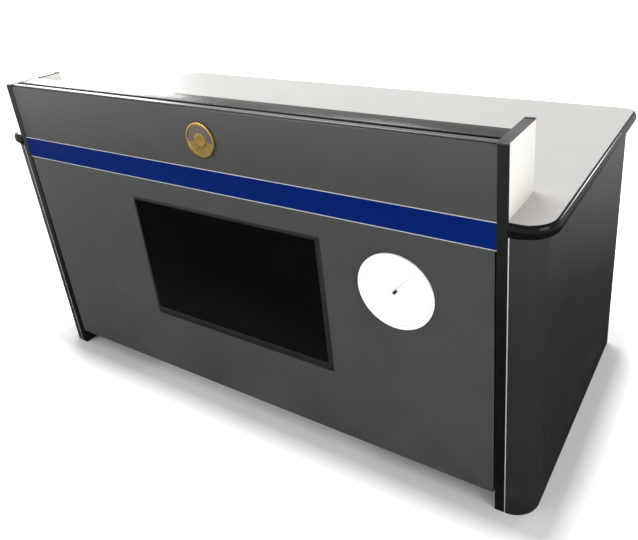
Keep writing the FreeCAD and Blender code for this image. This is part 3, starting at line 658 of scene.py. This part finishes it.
def makeEdging(look):
    # a flattened half-round bead, run round the board from one post to the other
    reach = worktopLow.y - edgingLow.y
    tall = edgingHigh.z - edgingLow.z
    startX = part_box("right_corner_post")[1].x + look["clear"]
    middle = Vector((startX, worktopLow.y, edgingLow.z + tall / 2))
    clearPick()
    bpy.ops.mesh.primitive_circle_add(
        vertices=look["sides"], radius=1.0, fill_type="NOTHING", location=middle, rotation=(0, math.pi / 2, 0)
    )
    bead = bpy.context.object
    bead.name = "edgingBead"
    bakePlace(bead)
    pickAll(bead)
    bpy.ops.mesh.bisect(plane_co=middle, plane_no=(0, 1, 0), clear_outer=True, use_fill=False)
    leaveEdit()
    for point in bead.data.vertices:   # the half circle is squashed to the bead's reach and height
        point.co.y = middle.y + (point.co.y - middle.y) * reach
        point.co.z = middle.z + (point.co.z - middle.z) * tall / 2
    workOn(bead)
    bpy.ops.object.mode_set(mode="EDIT")
    bpy.ops.mesh.select_mode(type="VERT")
    bpy.ops.mesh.select_all(action="DESELECT")
    shape = bmesh.from_edit_mesh(bead.data)
    for point in shape.verts:
        if abs(point.co.y - middle.y) < 1e-6:
            point.select_set(True)
    shape.select_flush(True)
    bmesh.update_edit_mesh(bead.data)
    bpy.ops.mesh.edge_face_add()       # closes the flat back of the bead
    bpy.ops.mesh.select_all(action="SELECT")
    front, rear = look["frontCorner"], look["rearCorner"]
    right, back = worktopHigh.x, worktopHigh.y
    left, low = -right, worktopLow.y
    runs = [   # a straight move, then the centre of the quarter turn that follows it
        ((right - front - startX, 0, 0), (right - front, low + front)),
        ((0, back - rear - low - front, 0), (right - rear, back - rear)),
        ((left + rear - (right - rear), 0, 0), (left + rear, back - rear)),
        ((0, low + front - (back - rear), 0), (left + front, low + front)),
        ((right - front - startX, 0, 0), None),
    ]
    for move, centre in runs:
        bpy.ops.mesh.extrude_region_move(TRANSFORM_OT_translate={"value": move})
        if centre:
            bpy.ops.mesh.spin(
                steps=look["turnSteps"], angle=-math.pi / 2, center=(*centre, middle.z), axis=(0, 0, 1)
            )
    bpy.ops.mesh.select_all(action="SELECT")
    bpy.ops.mesh.fill_holes(sides=0)
    leaveEdit()
    fixNormals(bead)
    return finishPiece(bead, "counter", glossEdging, ("worktop_edging",), 50)


makeEdging(beadLook)

sideLook = {"thick": 0.012, "turnSteps": 28, "ease": 0.0012, "start": 0.001}


def makeSides(look):
    # a formed board: the front strip is spun through the round corner, then run back to the rear edge
    low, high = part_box("right_side_panel")
    radius = high.x - low.x
    foot = (low.x - look["start"], low.y, low.z)
    board = addBlock("rightFormedSide", foot, (low.x, low.y + look["thick"], high.z))
    pickFaces(board, lambda place, facing: facing.x > 0.9)
    bpy.ops.mesh.spin(
        steps=look["turnSteps"], angle=-math.pi / 2, center=(low.x, low.y + radius, 0), axis=(0, 0, 1)
    )
    bpy.ops.mesh.extrude_region_move(TRANSFORM_OT_translate={"value": (0, high.y - low.y - radius, 0)})
    bpy.ops.mesh.select_all(action="SELECT")
    bpy.ops.mesh.bisect(plane_co=(low.x, 0, 0), plane_no=(1, 0, 0), clear_inner=True, use_fill=True)
    leaveEdit()
    fixNormals(board)
    soften(board, look["ease"], 3, 40)
    other = mirrorTwin(board, "leftFormedSide")
    finishPiece(board, "counter", sideLaminate, ("right_side_panel",))
    finishPiece(other, "counter", sideLaminate, ("left_side_panel",))


makeSides(sideLook)
print("edging and sides ready")

frontLook = {"topRound": 0.003, "ease": 0.0005}


def makeUpperPanel(look):
    low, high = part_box("front_upper_panel")
    panel = addBlock("upperPanel", low, high)
    pickEdges(panel, lambda a, b: min(a.z, b.z) > high.z - 1e-5 and max(a.y, b.y) < low.y + 1e-5)
    bpy.ops.mesh.bevel(offset=look["topRound"], segments=5, affect="EDGES")
    leaveEdit()
    soften(panel, look["ease"], 2, 60)
    # the upper panel takes the lighter copy of the front paint, which is painted light
    return finishPiece(panel, "counter", upperPaintPaintedLight, ("front_upper_panel",))


def makeStripe(look):
    low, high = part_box("front_stripe_panel")
    stripe = addBlock("bluePanel", low, high)
    soften(stripe, look["ease"], 2)
    return finishPiece(stripe, "counter", bluePaint, ("front_stripe_panel",))


makeUpperPanel(frontLook)
makeStripe(frontLook)

easedPieces = [   # node, body, slot, finish, how far the edges are eased
    ("left_corner_post", "counter", "black_profile", blackPaint, 0.0005),
    ("right_corner_post", "counter", "black_profile", blackPaint, 0.0005),
    ("stripe_trims", "counter", "silver_trim", silverTrim, 0.0003),
    ("riser_front_lip", "counter", "silver_trim", lipMetal, 0.0004),
    ("riser_channel", "counter", "black_profile", blackPaint, 0.0003),
    ("riser_top_cap", "counter", "grey_cap", capPaint, 0.0006),
    ("return_caps", "counter", "grey_cap", capPaint, 0.0004),
    ("return_cap_ends", "counter", "black_plastic", glossEdging, 0.0004),
    ("return_end_trims", "counter", "silver_trim", silverTrim, 0.0004),
    ("riser_back_panel", "counter", "cream_laminate", creamLaminate, 0.0006),
    ("left_return_panel", "counter", "cream_laminate", creamLaminate, 0.0007),
    ("right_return_panel", "counter", "cream_laminate", creamLaminate, 0.0007),
    ("side_light_strips", "counter", "silver_trim", silverTrim, 0.0003),
    ("left_inner_side", "counter", "carcass_board", greyMelamine, 0.0008),
    ("right_inner_side", "counter", "carcass_board", greyMelamine, 0.0008),
    ("pedestal_base_boards", "counter", "carcass_board", greyMelamine, 0.0006),
    ("pedestal_back_boards", "counter", "carcass_board", greyMelamine, 0.0005),
    ("pedestal_plinths", "counter", "kick_board", kickMelamine, 0.0006),
    ("cabinet_shelf", "counter", "carcass_board", greyMelamine, 0.0008),
    ("cable_tray", "counter", "black_profile", blackPaint, 0.0006),
    ("monitor_bracket", "counter", "zinc_steel", zincPlate, 0.0006),
    ("door_hinge_leaves", "door", "zinc_steel", zincPlate, 0.0003),
    ("body_hinge_leaves", "counter", "zinc_steel", zincPlate, 0.0003),
    ("door_panel", "door", "front_board", doorLaminate, 0.0003),
    ("door_handle", "door", "satin_handle", satinSteel, 0.0016),
    ("drawer_1_front", "drawer_1", "front_board", doorLaminate, 0.0003),
    ("drawer_2_front", "drawer_2", "front_board", doorLaminate, 0.0003),
    ("drawer_3_front", "drawer_3", "front_board", doorLaminate, 0.0003),
    ("drawer_1_tray", "drawer_1", "tray_board", trayMelamine, 0.0006),
    ("drawer_2_tray", "drawer_2", "tray_board", trayMelamine, 0.0006),
    ("drawer_3_tray", "drawer_3", "tray_board", trayMelamine, 0.0006),
    ("drawer_1_handle", "drawer_1", "satin_handle", satinSteel, 0.0016),
    ("drawer_2_handle", "drawer_2", "satin_handle", satinSteel, 0.0016),
    ("drawer_3_handle", "drawer_3", "satin_handle", satinSteel, 0.0016),
    ("dial_hub_cap", "minute_hand", "hub_dark", blackMoulding, 0.0003),
]
for node, body, slotName, finish, width in easedPieces:
    steps = 4 if node.endswith("handle") else 2
    softCopy(node, body, finish, width, steps)
print("eased pieces ready")

# CAD pieces whose own shape stays, with their finishes
keptFinishes = {
    "front_lower_panel": frontPaint, "front_cross_rails": blackPaint, "worktop_board": worktopLaminate,
    "dial_movement": blackMoulding, "hour_hand": handLacquer, "minute_hand": handLacquer,
}
for node, finish in keptFinishes.items():
    nodes[node].data.materials.clear()
    nodes[node].data.materials.append(finish)


# screen

screenLook = {"ease": 0.0004, "glassStep": 0.0008, "glassLip": 0.0014}


def makeScreen(look):
    bezel = copyNode("display_bezel", "screenFrame")
    soften(bezel, look["ease"], 2)
    finishPiece(bezel, "counter", bezelPlastic, ("display_bezel",))
    glass = addBlock("screenGlass", *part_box("display_glass"))
    pickFaces(glass, lambda place, facing: facing.y < -0.9)
    stepFace(look["glassLip"], (0, look["glassStep"], 0))
    leaveEdit()
    finishPiece(glass, "counter", screenGlass, ("display_glass",))


monitorLook = {
    "ease": 0.002, "ribs": 16, "pitch": 0.011, "split": 0.136,
    "ribFrom": (0.070, 0.48), "ribTo": (0.074, 0.545), "sunk": 0.0005, "proud": 0.0012, "ribEase": 0.0005,
}


def makeMonitor(look):
    # housing with eased edges, and two rows of cooling ribs high on its back
    housing = copyNode("monitor_body", "monitorHousing")
    soften(housing, look["ease"], 3)
    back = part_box("monitor_body")[1].y
    (left, foot), (right, top) = look["ribFrom"], look["ribTo"]
    first = addBlock("rib", (left, back - look["sunk"], foot), (right, back + look["proud"], top))
    soften(first, look["ribEase"], 2)
    ribs = []
    for index in range(look["ribs"]):
        step = (index // 2) * look["pitch"]
        shift = -look["split"] - step if index % 2 else step
        ribs.append(twin(first, "rib" + str(index), (shift, 0, 0)))
    bpy.data.objects.remove(first)
    vents = joinPieces("monitorRibs", ribs)
    finishPiece(housing, "counter", blackMoulding, ("monitor_body",))
    finishPiece(vents, "counter", blackMoulding)


makeScreen(screenLook)
makeMonitor(monitorLook)
print("screen ready")


# dial

dialLook = {
    "sides": 160, "wall": 0.009, "recess": 0.0052, "round": 0.0028, "flange": 0.007,
    "bodyRadius": 0.0915, "bodyWall": 0.0045,
    "groove": ((0.006, 0.0), (0.0004, 0.0003), (0.0006, 0.0), (0.0004, -0.0003)),   # width and depth
}


def makeDial(look):
    low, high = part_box("dial_rim")
    centre = (low + high) / 2
    radius = (high.x - low.x) / 2
    flange = look["flange"]
    rim = addDisc("dialRim", radius, flange, (centre.x, low.y + flange / 2, centre.z), look["sides"])
    pickFaces(rim, lambda place, facing: facing.y < -0.9)
    stepFace(look["wall"], (0, look["recess"], 0))
    bpy.ops.mesh.delete(type="FACE")
    pickFaces(rim, lambda place, facing: facing.y > 0.9)
    bpy.ops.mesh.inset(thickness=radius - look["bodyRadius"], depth=0)
    bpy.ops.mesh.extrude_region_move(TRANSFORM_OT_translate={"value": (0, high.y - low.y - flange, 0)})
    bpy.ops.mesh.inset(thickness=look["bodyWall"], depth=0)
    bpy.ops.mesh.delete(type="FACE")
    bpy.ops.mesh.select_mode(type="EDGE")
    bpy.ops.mesh.select_all(action="DESELECT")
    bpy.ops.mesh.select_non_manifold()
    bpy.ops.mesh.bridge_edge_loops()
    leaveEdit()
    fixNormals(rim)
    soften(rim, look["round"], 5, 50)
    finishPiece(rim, "counter", dialWhite, ("dial_rim",))
    faceLow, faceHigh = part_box("dial_face")
    middle = (centre.x, (faceLow.y + faceHigh.y) / 2, centre.z)
    face = addDisc("dialFace", (faceHigh.x - faceLow.x) / 2, faceHigh.y - faceLow.y, middle, look["sides"])
    pickFaces(face, lambda place, facing: facing.y < -0.9)
    for width, depth in look["groove"]:   # a fine groove near the rim
        stepFace(width, (0, depth, 0))
    leaveEdit()
    finishPiece(face, "counter", dialPaper, ("dial_face",))


makeDial(dialLook)

emblemLook = {   # what is sunk is counted from the front of the node's box
    "sides": 96, "thick": 0.0045, "sunk": 0.0005,
    "steps": ((0.0012, -0.0005), (0.004, 0.0), (0.0012, 0.0016)),
    "beads": 40, "beadRadius": 0.0011, "beadInset": 0.0033, "beadSunk": 0.0006,
    "bossShare": 0.42, "bossThick": 0.003, "bossSunk": 0.0003,
    "bossSteps": ((0.003, -0.0004), (0.006, 0.0005)),
    "rays": 12, "rayFrom": 0.46, "rayTo": 0.74, "rayThick": 0.0008, "rayWide": 0.0011, "raySunk": 0.0013,
    "rayTaper": (1, 0.5, 0.25),
    "enamelInset": 0.0072, "enamelThick": 0.0008, "enamelSunk": 0.0012, "enamelFrom": -0.004,
    "enamelEase": 0.0002,
}


def makeEmblem(look):
    # a plain round medallion: beaded rim, raised boss with even rays, dark enamel over its upper part
    low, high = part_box("emblem_plate")
    centre = (low + high) / 2
    radius = (high.x - low.x) / 2

    def layer(name, size, thick, sunk, steps=()):
        disc = addDisc(name, size, thick, (centre.x, low.y + sunk + thick / 2, centre.z), look["sides"])
        pickFaces(disc, lambda place, facing: facing.y < -0.9)
        for width, depth in steps:
            stepFace(width, (0, depth, 0))
        leaveEdit()
        return disc

    plate = layer("medallionPlate", radius, look["thick"], look["sunk"], look["steps"])
    fixNormals(plate)
    parts = [plate]
    clearPick()
    bpy.ops.mesh.primitive_uv_sphere_add(segments=12, ring_count=8, radius=look["beadRadius"])
    bead = bpy.context.object
    ring = radius - look["beadInset"]
    for index in range(look["beads"]):
        turn = 2 * math.pi * index / look["beads"]
        place = (centre.x + ring * math.cos(turn), low.y + look["beadSunk"], centre.z + ring * math.sin(turn))
        parts.append(twin(bead, "bead" + str(index), place))
    bpy.data.objects.remove(bead)
    bossRadius = radius * look["bossShare"]
    parts.append(layer("boss", bossRadius, look["bossThick"], look["bossSunk"], look["bossSteps"]))
    ray = addBlock("ray", (radius * look["rayFrom"], -look["rayThick"], -look["rayWide"]),
                   (radius * look["rayTo"], look["rayThick"], look["rayWide"]))
    pickFaces(ray, lambda place, facing: facing.x > 0.9)
    bpy.ops.transform.resize(value=look["rayTaper"])
    leaveEdit()
    for index in range(look["rays"]):
        copy = twin(ray, "ray" + str(index))
        copy.rotation_euler = (0, 2 * math.pi * index / look["rays"], 0)
        copy.location = (centre.x, low.y + look["raySunk"], centre.z)
        bakePlace(copy)
        parts.append(copy)
    bpy.data.objects.remove(ray)
    finishPiece(joinPieces("medallion", parts), "counter", emblemBrass, ("emblem_plate",))
    field = layer("medallionField", radius - look["enamelInset"], look["enamelThick"], look["enamelSunk"])
    pickAll(field)
    bpy.ops.mesh.bisect(
        plane_co=(0, 0, centre.z + look["enamelFrom"]), plane_no=(0, 0, 1), clear_inner=True, use_fill=True
    )
    leaveEdit()
    fixNormals(field)
    soften(field, look["enamelEase"], 2)
    finishPiece(field, "counter", darkEnamel)


makeEmblem(emblemLook)
print("dial and medallion ready")


# operator's side fittings

screwLook = {"sides": 28, "tall": 0.5, "rim": 0.3, "dome": 0.18, "reach": 0.55, "slot": 0.22, "floor": 0.05}


def screwHead(radius, look):
    # a pan head with a cross recess, facing +Y; the look's sizes are shares of the radius
    head = addDisc("screw", radius, radius * look["tall"], (0, 0, 0), look["sides"], "Z")
    pickFaces(head, lambda place, facing: facing.z > 0.9)
    stepFace(radius * look["rim"], (0, 0, radius * look["dome"]))
    leaveEdit()
    for across, along in ((1.0, look["slot"]), (look["slot"], 1.0)):
        x, y = radius * across * look["reach"], radius * along * look["reach"]
        carve(head, addBlock("slot", (-x, -y, radius * look["floor"]), (x, y, radius)))
    head.rotation_euler = (-math.pi / 2, 0, 0)
    bakePlace(head)
    return head


def spread(name, model, places, body, finish):
    # one finished shape, copied to each place and joined
    copies = [twin(model, name + str(index), place) for index, place in enumerate(places)]
    bpy.data.objects.remove(model)
    return finishPiece(joinPieces(name, copies), body, finish)


hingeLook = {
    "doorScrew": 0.0024, "bodyScrew": 0.0022, "fromEnd": 0.0097, "proud": 0.002,
    "doorInset": 0.007, "doorPitch": 0.012, "bodyInset": 0.006, "bodyPitch": 0.026,
}


def makeHingeScrews(look):
    low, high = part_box("door_hinge_leaves")
    levels = (low.z + look["fromEnd"], high.z - look["fromEnd"])
    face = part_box("door_panel")[1].y + look["proud"]
    start = low.x + look["doorInset"]
    places = [(start + look["doorPitch"] * step, face, z) for z in levels for step in (0, 1)]
    screw = screwHead(look["doorScrew"], screwLook)
    spread("doorHingeScrews", screw, places, "door", zincPlate)
    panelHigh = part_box("right_side_panel")[1]
    middle, rear = panelHigh.x - look["bodyInset"], panelHigh.y + look["proud"]
    places = [(middle, rear, z + look["bodyPitch"] * step) for z in levels for step in (-1, 0, 1)]
    screw = screwHead(look["bodyScrew"], screwLook)
    spread("bodyHingeScrews", screw, places, "counter", zincPlate)


capLook = {
    "radius": 0.0065, "thick": 0.0012, "ease": 0.0004, "proud": 0.0004,
    "levels": (0.068, 0.398, 0.69), "shares": (0.12, 0.5, 0.9),   # heights, and shares of the board's depth
}


def makeCoverCaps(look):
    # caps over the screws that hold the base, the shelf and the rails
    model = addDisc("cap", look["radius"], look["thick"], (0, 0, 0), 32, "X")
    soften(model, look["ease"], 2)
    places = []
    for node, sign in (("left_inner_side", 1), ("right_inner_side", -1)):
        low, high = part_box(node)
        x = high.x + look["proud"] if sign > 0 else low.x - look["proud"]
        for z in look["levels"]:
            for share in look["shares"]:
                places.append((x, low.y + (high.y - low.y) * share, z))
    spread("coverCaps", model, places, "counter", capMoulding)


lockLook = {
    "barrel": 0.008, "barrelEnd": 0.0026, "flange": 0.0025, "rim": 0.0026, "chamfer": 0.0004,
    "sunk": 0.0007, "raised": 0.0005, "ease": 0.0005, "keyWide": 0.0008, "keyTall": 0.0042, "keyDeep": 0.002,
}


def makeLock(node, look):
    # barrel with a rounded flange, a sunk plug and a key slot
    low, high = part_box(node)
    centre = (low + high) / 2
    end = high.y - look["barrelEnd"]
    lock = addDisc(node + "_barrel", look["barrel"], end - low.y, (centre.x, (low.y + end) / 2, centre.z), 48)
    place = (centre.x, high.y - look["flange"] / 2, centre.z)
    flange = addDisc("flange", (high.x - low.x) / 2, look["flange"], place, 64)
    pickFaces(flange, lambda place, facing: facing.y > 0.9)
    bpy.ops.mesh.inset(thickness=look["rim"], depth=0)
    stepFace(look["chamfer"], (0, -look["sunk"], 0))
    stepFace(look["chamfer"], (0, look["raised"], 0))
    leaveEdit()
    soften(flange, look["ease"], 3, 50)
    key = Vector((look["keyWide"], look["keyDeep"], look["keyTall"]))
    middle = Vector((centre.x, high.y, centre.z))
    carve(flange, addBlock("key", middle - key, middle + key))
    piece = joinPieces(node + "_turning", [lock, flange])
    finishPiece(piece, node, lockChrome, (node,))


rosetteLook = {"radius": 0.0078, "thick": 0.0016, "ease": 0.0005, "inset": 0.005}


def makeHandleFeet(look):
    for body in ("drawer_1", "drawer_2", "drawer_3", "door"):
        node = body + "_handle"
        low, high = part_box(node)
        middle = (low + high) / 2
        model = addDisc("foot", look["radius"], look["thick"], (0, 0, 0), 36)
        soften(model, look["ease"], 3)
        y, inset = low.y + look["thick"] / 2, look["inset"]
        if high.z - low.z > high.x - low.x:
            places = [(middle.x, y, z) for z in (low.z + inset, high.z - inset)]
        else:
            places = [(x, y, middle.z) for x in (low.x + inset, high.x - inset)]
        spread(node + "_rosettes", model, places, body, satinSteel)


railLook = {
    "thick": 0.006, "half": 0.022, "flangeShare": 0.16, "sunk": 0.0035, "ease": 0.0007,
    "stopRadius": 0.0032, "stopThick": 0.0012, "stopIn": 0.0028, "stopBack": 0.03,
}


def railChannel(name, low, high, inward, look):
    # a rolled rail: its broad face is sunk between two rounded flanges
    rail = addBlock(name, low, high)
    pickFaces(rail, lambda place, facing: facing.x * inward > 0.9)
    stepFace((high[2] - low[2]) * look["flangeShare"], (-look["sunk"] * inward, 0, 0))
    leaveEdit()
    soften(rail, look["ease"], 2)
    return rail


def makeSlides(look):
    thick, half = look["thick"], look["half"]
    levels = []
    for number in ("1", "2", "3"):
        node = "drawer_" + number + "_runners"
        low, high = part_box(node)
        level = (low.z + high.z) / 2
        levels.append(level)
        rails = [
            railChannel("outerRail", low, (low.x + thick, high.y, high.z), -1, look),
            railChannel("innerRail", (high.x - thick, low.y, low.z), high, 1, look),
            addDisc("stop", look["stopRadius"], look["stopThick"],
                    (low.x + look["stopIn"], high.y - look["stopBack"], level), 20, "X"),
        ]
        piece = joinPieces("movingRails" + number, rails)
        finishPiece(piece, "drawer_" + number, zincPlate, (node,))
    low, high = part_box("drawer_slides")
    rails = []
    for level in levels:
        for x, inward in ((low.x, 1), (high.x - thick, -1)):
            foot, top = (x, low.y, level - half), (x + thick, high.y, level + half)
            rails.append(railChannel("fixedRail", foot, top, inward, look))
    piece = joinPieces("fixedRails", rails)
    finishPiece(piece, "counter", zincPlate, ("drawer_slides",))


footLook = {
    "pad": 0.020, "padThick": 0.004, "padEase": 0.0008,
    "padSteps": ((0.003, 0.0008), (0.004, 0.0032), (0.004, 0.0)),   # width, rise of each
    "nut": 0.0075, "nutThick": 0.0045, "nutMiddle": 0.0105, "nutEase": 0.0005,
    "stud": 0.004, "studFrom": 0.008,
    "threads": 8, "threadProud": 0.0003, "threadThick": 0.0006, "threadFrom": 0.014, "threadPitch": 0.0013,
}


def makeFeet(look):
    # a stepped pad, a hexagon nut and a threaded stud at each corner
    low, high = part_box("levelling_feet")
    pad = addDisc("footPad", look["pad"], look["padThick"], (0, 0, look["padThick"] / 2), 48, "Z")
    pickFaces(pad, lambda place, facing: facing.z > 0.9)
    for width, rise in look["padSteps"]:
        stepFace(width, (0, 0, rise))
    leaveEdit()
    soften(pad, look["padEase"], 2)
    nut = addDisc("nut", look["nut"], look["nutThick"], (0, 0, look["nutMiddle"]), 6, "Z")
    soften(nut, look["nutEase"], 2)
    foot = look["studFrom"]
    parts = [nut, addDisc("stud", look["stud"], high.z - foot, (0, 0, (high.z + foot) / 2), 24, "Z")]
    wide = look["stud"] + look["threadProud"]
    for index in range(look["threads"]):
        rise = look["threadFrom"] + look["threadPitch"] * index
        parts.append(addDisc("thread" + str(index), wide, look["threadThick"], (0, 0, rise), 24, "Z"))
    stem = joinPieces("stem", parts)
    inset = look["pad"]
    places = [(x, y, 0) for x in (low.x + inset, high.x - inset) for y in (low.y + inset, high.y - inset)]
    pads = spread("footPads", pad, places, "counter", blackMoulding)
    spread("footStems", stem, places, "counter", zincPlate)
    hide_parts("levelling_feet")


pinLook = {"radius": 0.0025, "long": 0.008, "ease": 0.0006, "inset": 0.004, "fromEdge": 0.04}


def makeShelfPins(look):
    low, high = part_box("cabinet_shelf")
    model = addDisc("pin", look["radius"], look["long"], (0, 0, 0), 20, "X")
    soften(model, look["ease"], 2)
    places = [(x, y, low.z - look["radius"]) for x in (low.x + look["inset"], high.x - look["inset"])
              for y in (low.y + look["fromEdge"], high.y - look["fromEdge"])]
    spread("shelfPins", model, places, "counter", zincPlate)


grommetLook = {"ease": 0.0008}


def makeGrommets(look):
    # collars with a rolled lip
    piece = copyNode("grommet_rings", "grommetCollars")
    soften(piece, look["ease"], 3)
    finishPiece(piece, "counter", blackMoulding, ("grommet_rings",))


bracketLook = {"screw": 0.0045, "inset": 0.02}


def makeBracketScrews(look):
    # screws that hold the monitor bracket to the rails
    low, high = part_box("monitor_bracket")
    inset = look["inset"]
    places = [(x, high.y, z) for x in (low.x + inset, high.x - inset)
              for z in (low.z + inset, high.z - inset)]
    screw = screwHead(look["screw"], screwLook)
    spread("bracketScrews", screw, places, "counter", zincPlate)


makeHingeScrews(hingeLook)
makeCoverCaps(capLook)
for node in ("drawer_lock", "door_lock"):
    makeLock(node, lockLook)
makeHandleFeet(rosetteLook)
makeSlides(railLook)
makeFeet(footLook)
makeShelfPins(pinLook)
makeGrommets(grommetLook)
makeBracketScrews(bracketLook)
print("fittings ready")


# camera, lights and floor

cameraSetup = {
    "place": (1.154, -1.46475, 1.333), "turn": 32.948, "tilt": -23.933, "roll": -4.621,
    "sensor": 36.0, "lens": 37.086, "shiftX": -0.0752, "shiftY": -0.1180,
}


def placeCamera(setup):
    turn, tilt, roll = (math.radians(setup[key]) for key in ("turn", "tilt", "roll"))
    ahead = Vector((-math.sin(turn) * math.cos(tilt), math.cos(turn) * math.cos(tilt), math.sin(tilt)))
    across = Vector((math.cos(turn), math.sin(turn), 0))
    upright = across.cross(ahead)
    right = across * math.cos(roll) + upright * math.sin(roll)
    up = upright * math.cos(roll) - across * math.sin(roll)
    lens = bpy.data.cameras.new("camera")
    lens.lens = setup["lens"]
    lens.sensor_width = setup["sensor"]
    lens.shift_x = setup["shiftX"]
    lens.shift_y = setup["shiftY"]
    camera = bpy.data.objects.new("camera", lens)
    facing = Matrix((right, up, -ahead)).transposed().to_4x4()
    camera.matrix_world = Matrix.Translation(setup["place"]) @ facing
    bpy.context.scene.collection.objects.link(camera)
    bpy.context.scene.camera = camera


studio = {
    "sky": (1.0, 1.0, 1.0), "horizon": 0.82, "below": 0.02, "zenith": 0.30,
    "lowerFade": (-0.5, -0.08), "upperFade": (0.1, 1.0),   # heights of a direction, from -1 to 1
    "floorSize": 60.0, "floorColour": (0.9, 0.9, 0.9), "floorRough": 0.8,
    "marksScale": 0.7, "marksTone": 0.99,
    # painted light: the floor's own glow runs from none at the desk's outline to full further out, and so
    # paints a tight shadow round the desk
    "glowNear": 0.0, "glowFar": 0.8, "glowStart": 0.02, "glowEnd": 0.12,
    "lamps": [   # name, place, target, size, watts
        ("key", (-1.0, 1.0, 4.2), (0, 0, 0.3), 2.6, 130.0),
        ("front", (-2.6, -4.0, 2.4), (0, 0, 0.5), 2.6, 53.0),
        ("right", (3.6, -1.2, 2.2), (0.7, 0, 0.7), 1.8, 42.0),
        ("rear", (2.5, 3.6, 1.7), (0.8, 0, 0.7), 0.7, 28.0),
        ("glare", (-3.1, 1.45, 1.6), (-0.5, -0.39, 0.92), 1.2, 22.0),
    ],
}


def lightStudio(setup):
    world = bpy.data.worlds.new("sky")
    world.use_nodes = True
    backdrop = world.node_tree.nodes["Background"]
    backdrop.inputs["Color"].default_value = (*setup["sky"], 1.0)
    tree = world.node_tree   # brightest round the horizon, dark below it
    direction = tree.nodes.new("ShaderNodeTexCoord").outputs["Generated"]
    split = tree.nodes.new("ShaderNodeSeparateXYZ")
    tree.links.new(direction, split.inputs[0])
    lower = addRange(tree, split.outputs["Z"], *setup["lowerFade"], setup["below"], setup["horizon"])
    upper = addRange(tree, split.outputs["Z"], *setup["upperFade"], 0.0, setup["horizon"] - setup["zenith"])
    tree.links.new(addMath(tree, "SUBTRACT", lower, upper), backdrop.inputs["Strength"])
    bpy.context.scene.world = world
    for name, place, target, size, watts in setup["lamps"]:
        lamp = bpy.data.lights.new(name, "AREA")
        lamp.size = size
        lamp.energy = watts
        holder = bpy.data.objects.new(name, lamp)
        holder.location = place
        aim = Vector(target) - Vector(place)
        holder.rotation_euler = aim.to_track_quat("-Z", "Y").to_euler()
        bpy.context.scene.collection.objects.link(holder)
    bpy.context.scene.view_settings.view_transform = "Standard"


def layFloor(setup):
    clearPick()
    bpy.ops.mesh.primitive_plane_add(size=setup["floorSize"], location=(0, 0, 0))
    floor = bpy.context.object
    floor.name = "floor"
    finish, tree, shader, place = startFinish("floorFinish")
    marks = useGroup(tree, smudges, place, Scale=setup["marksScale"]).outputs["Mask"]
    tone = tuple(part * setup["marksTone"] for part in setup["floorColour"])
    tree.links.new(addMix(tree, marks, setup["floorColour"], tone), shader.inputs["Base Color"])
    shader.inputs["Roughness"].default_value = setup["floorRough"]
    # painted light and painted shadow: the floor glows where there is no lamp, and the missing glow by the
    # desk paints its shadow
    reach = place   # the floor glows more, further out from the desk's outline
    corner = (cadHigh[0], cadHigh[1], 0)
    steps = (("ABSOLUTE", None), ("SUBTRACT", corner), ("MAXIMUM", (0, 0, 0)), ("LENGTH", None))
    for operation, value in steps:
        step = tree.nodes.new("ShaderNodeVectorMath")
        step.operation = operation
        tree.links.new(reach, step.inputs[0])
        if value:
            step.inputs[1].default_value = value
        reach = step.outputs["Value" if operation == "LENGTH" else "Vector"]
    glow = addRange(tree, reach, setup["glowStart"], setup["glowEnd"], setup["glowNear"], setup["glowFar"])
    shader.inputs["Emission Color"].default_value = (1.0, 1.0, 1.0, 1.0)
    tree.links.new(glow, shader.inputs["Emission Strength"])
    floor.data.materials.append(finish)
    floor.visible_glossy = False   # keeps the pale floor out of the dark sheet's sheen


placeCamera(cameraSetup)
lightStudio(studio)
layFloor(studio)
print("camera, lights and floor ready")
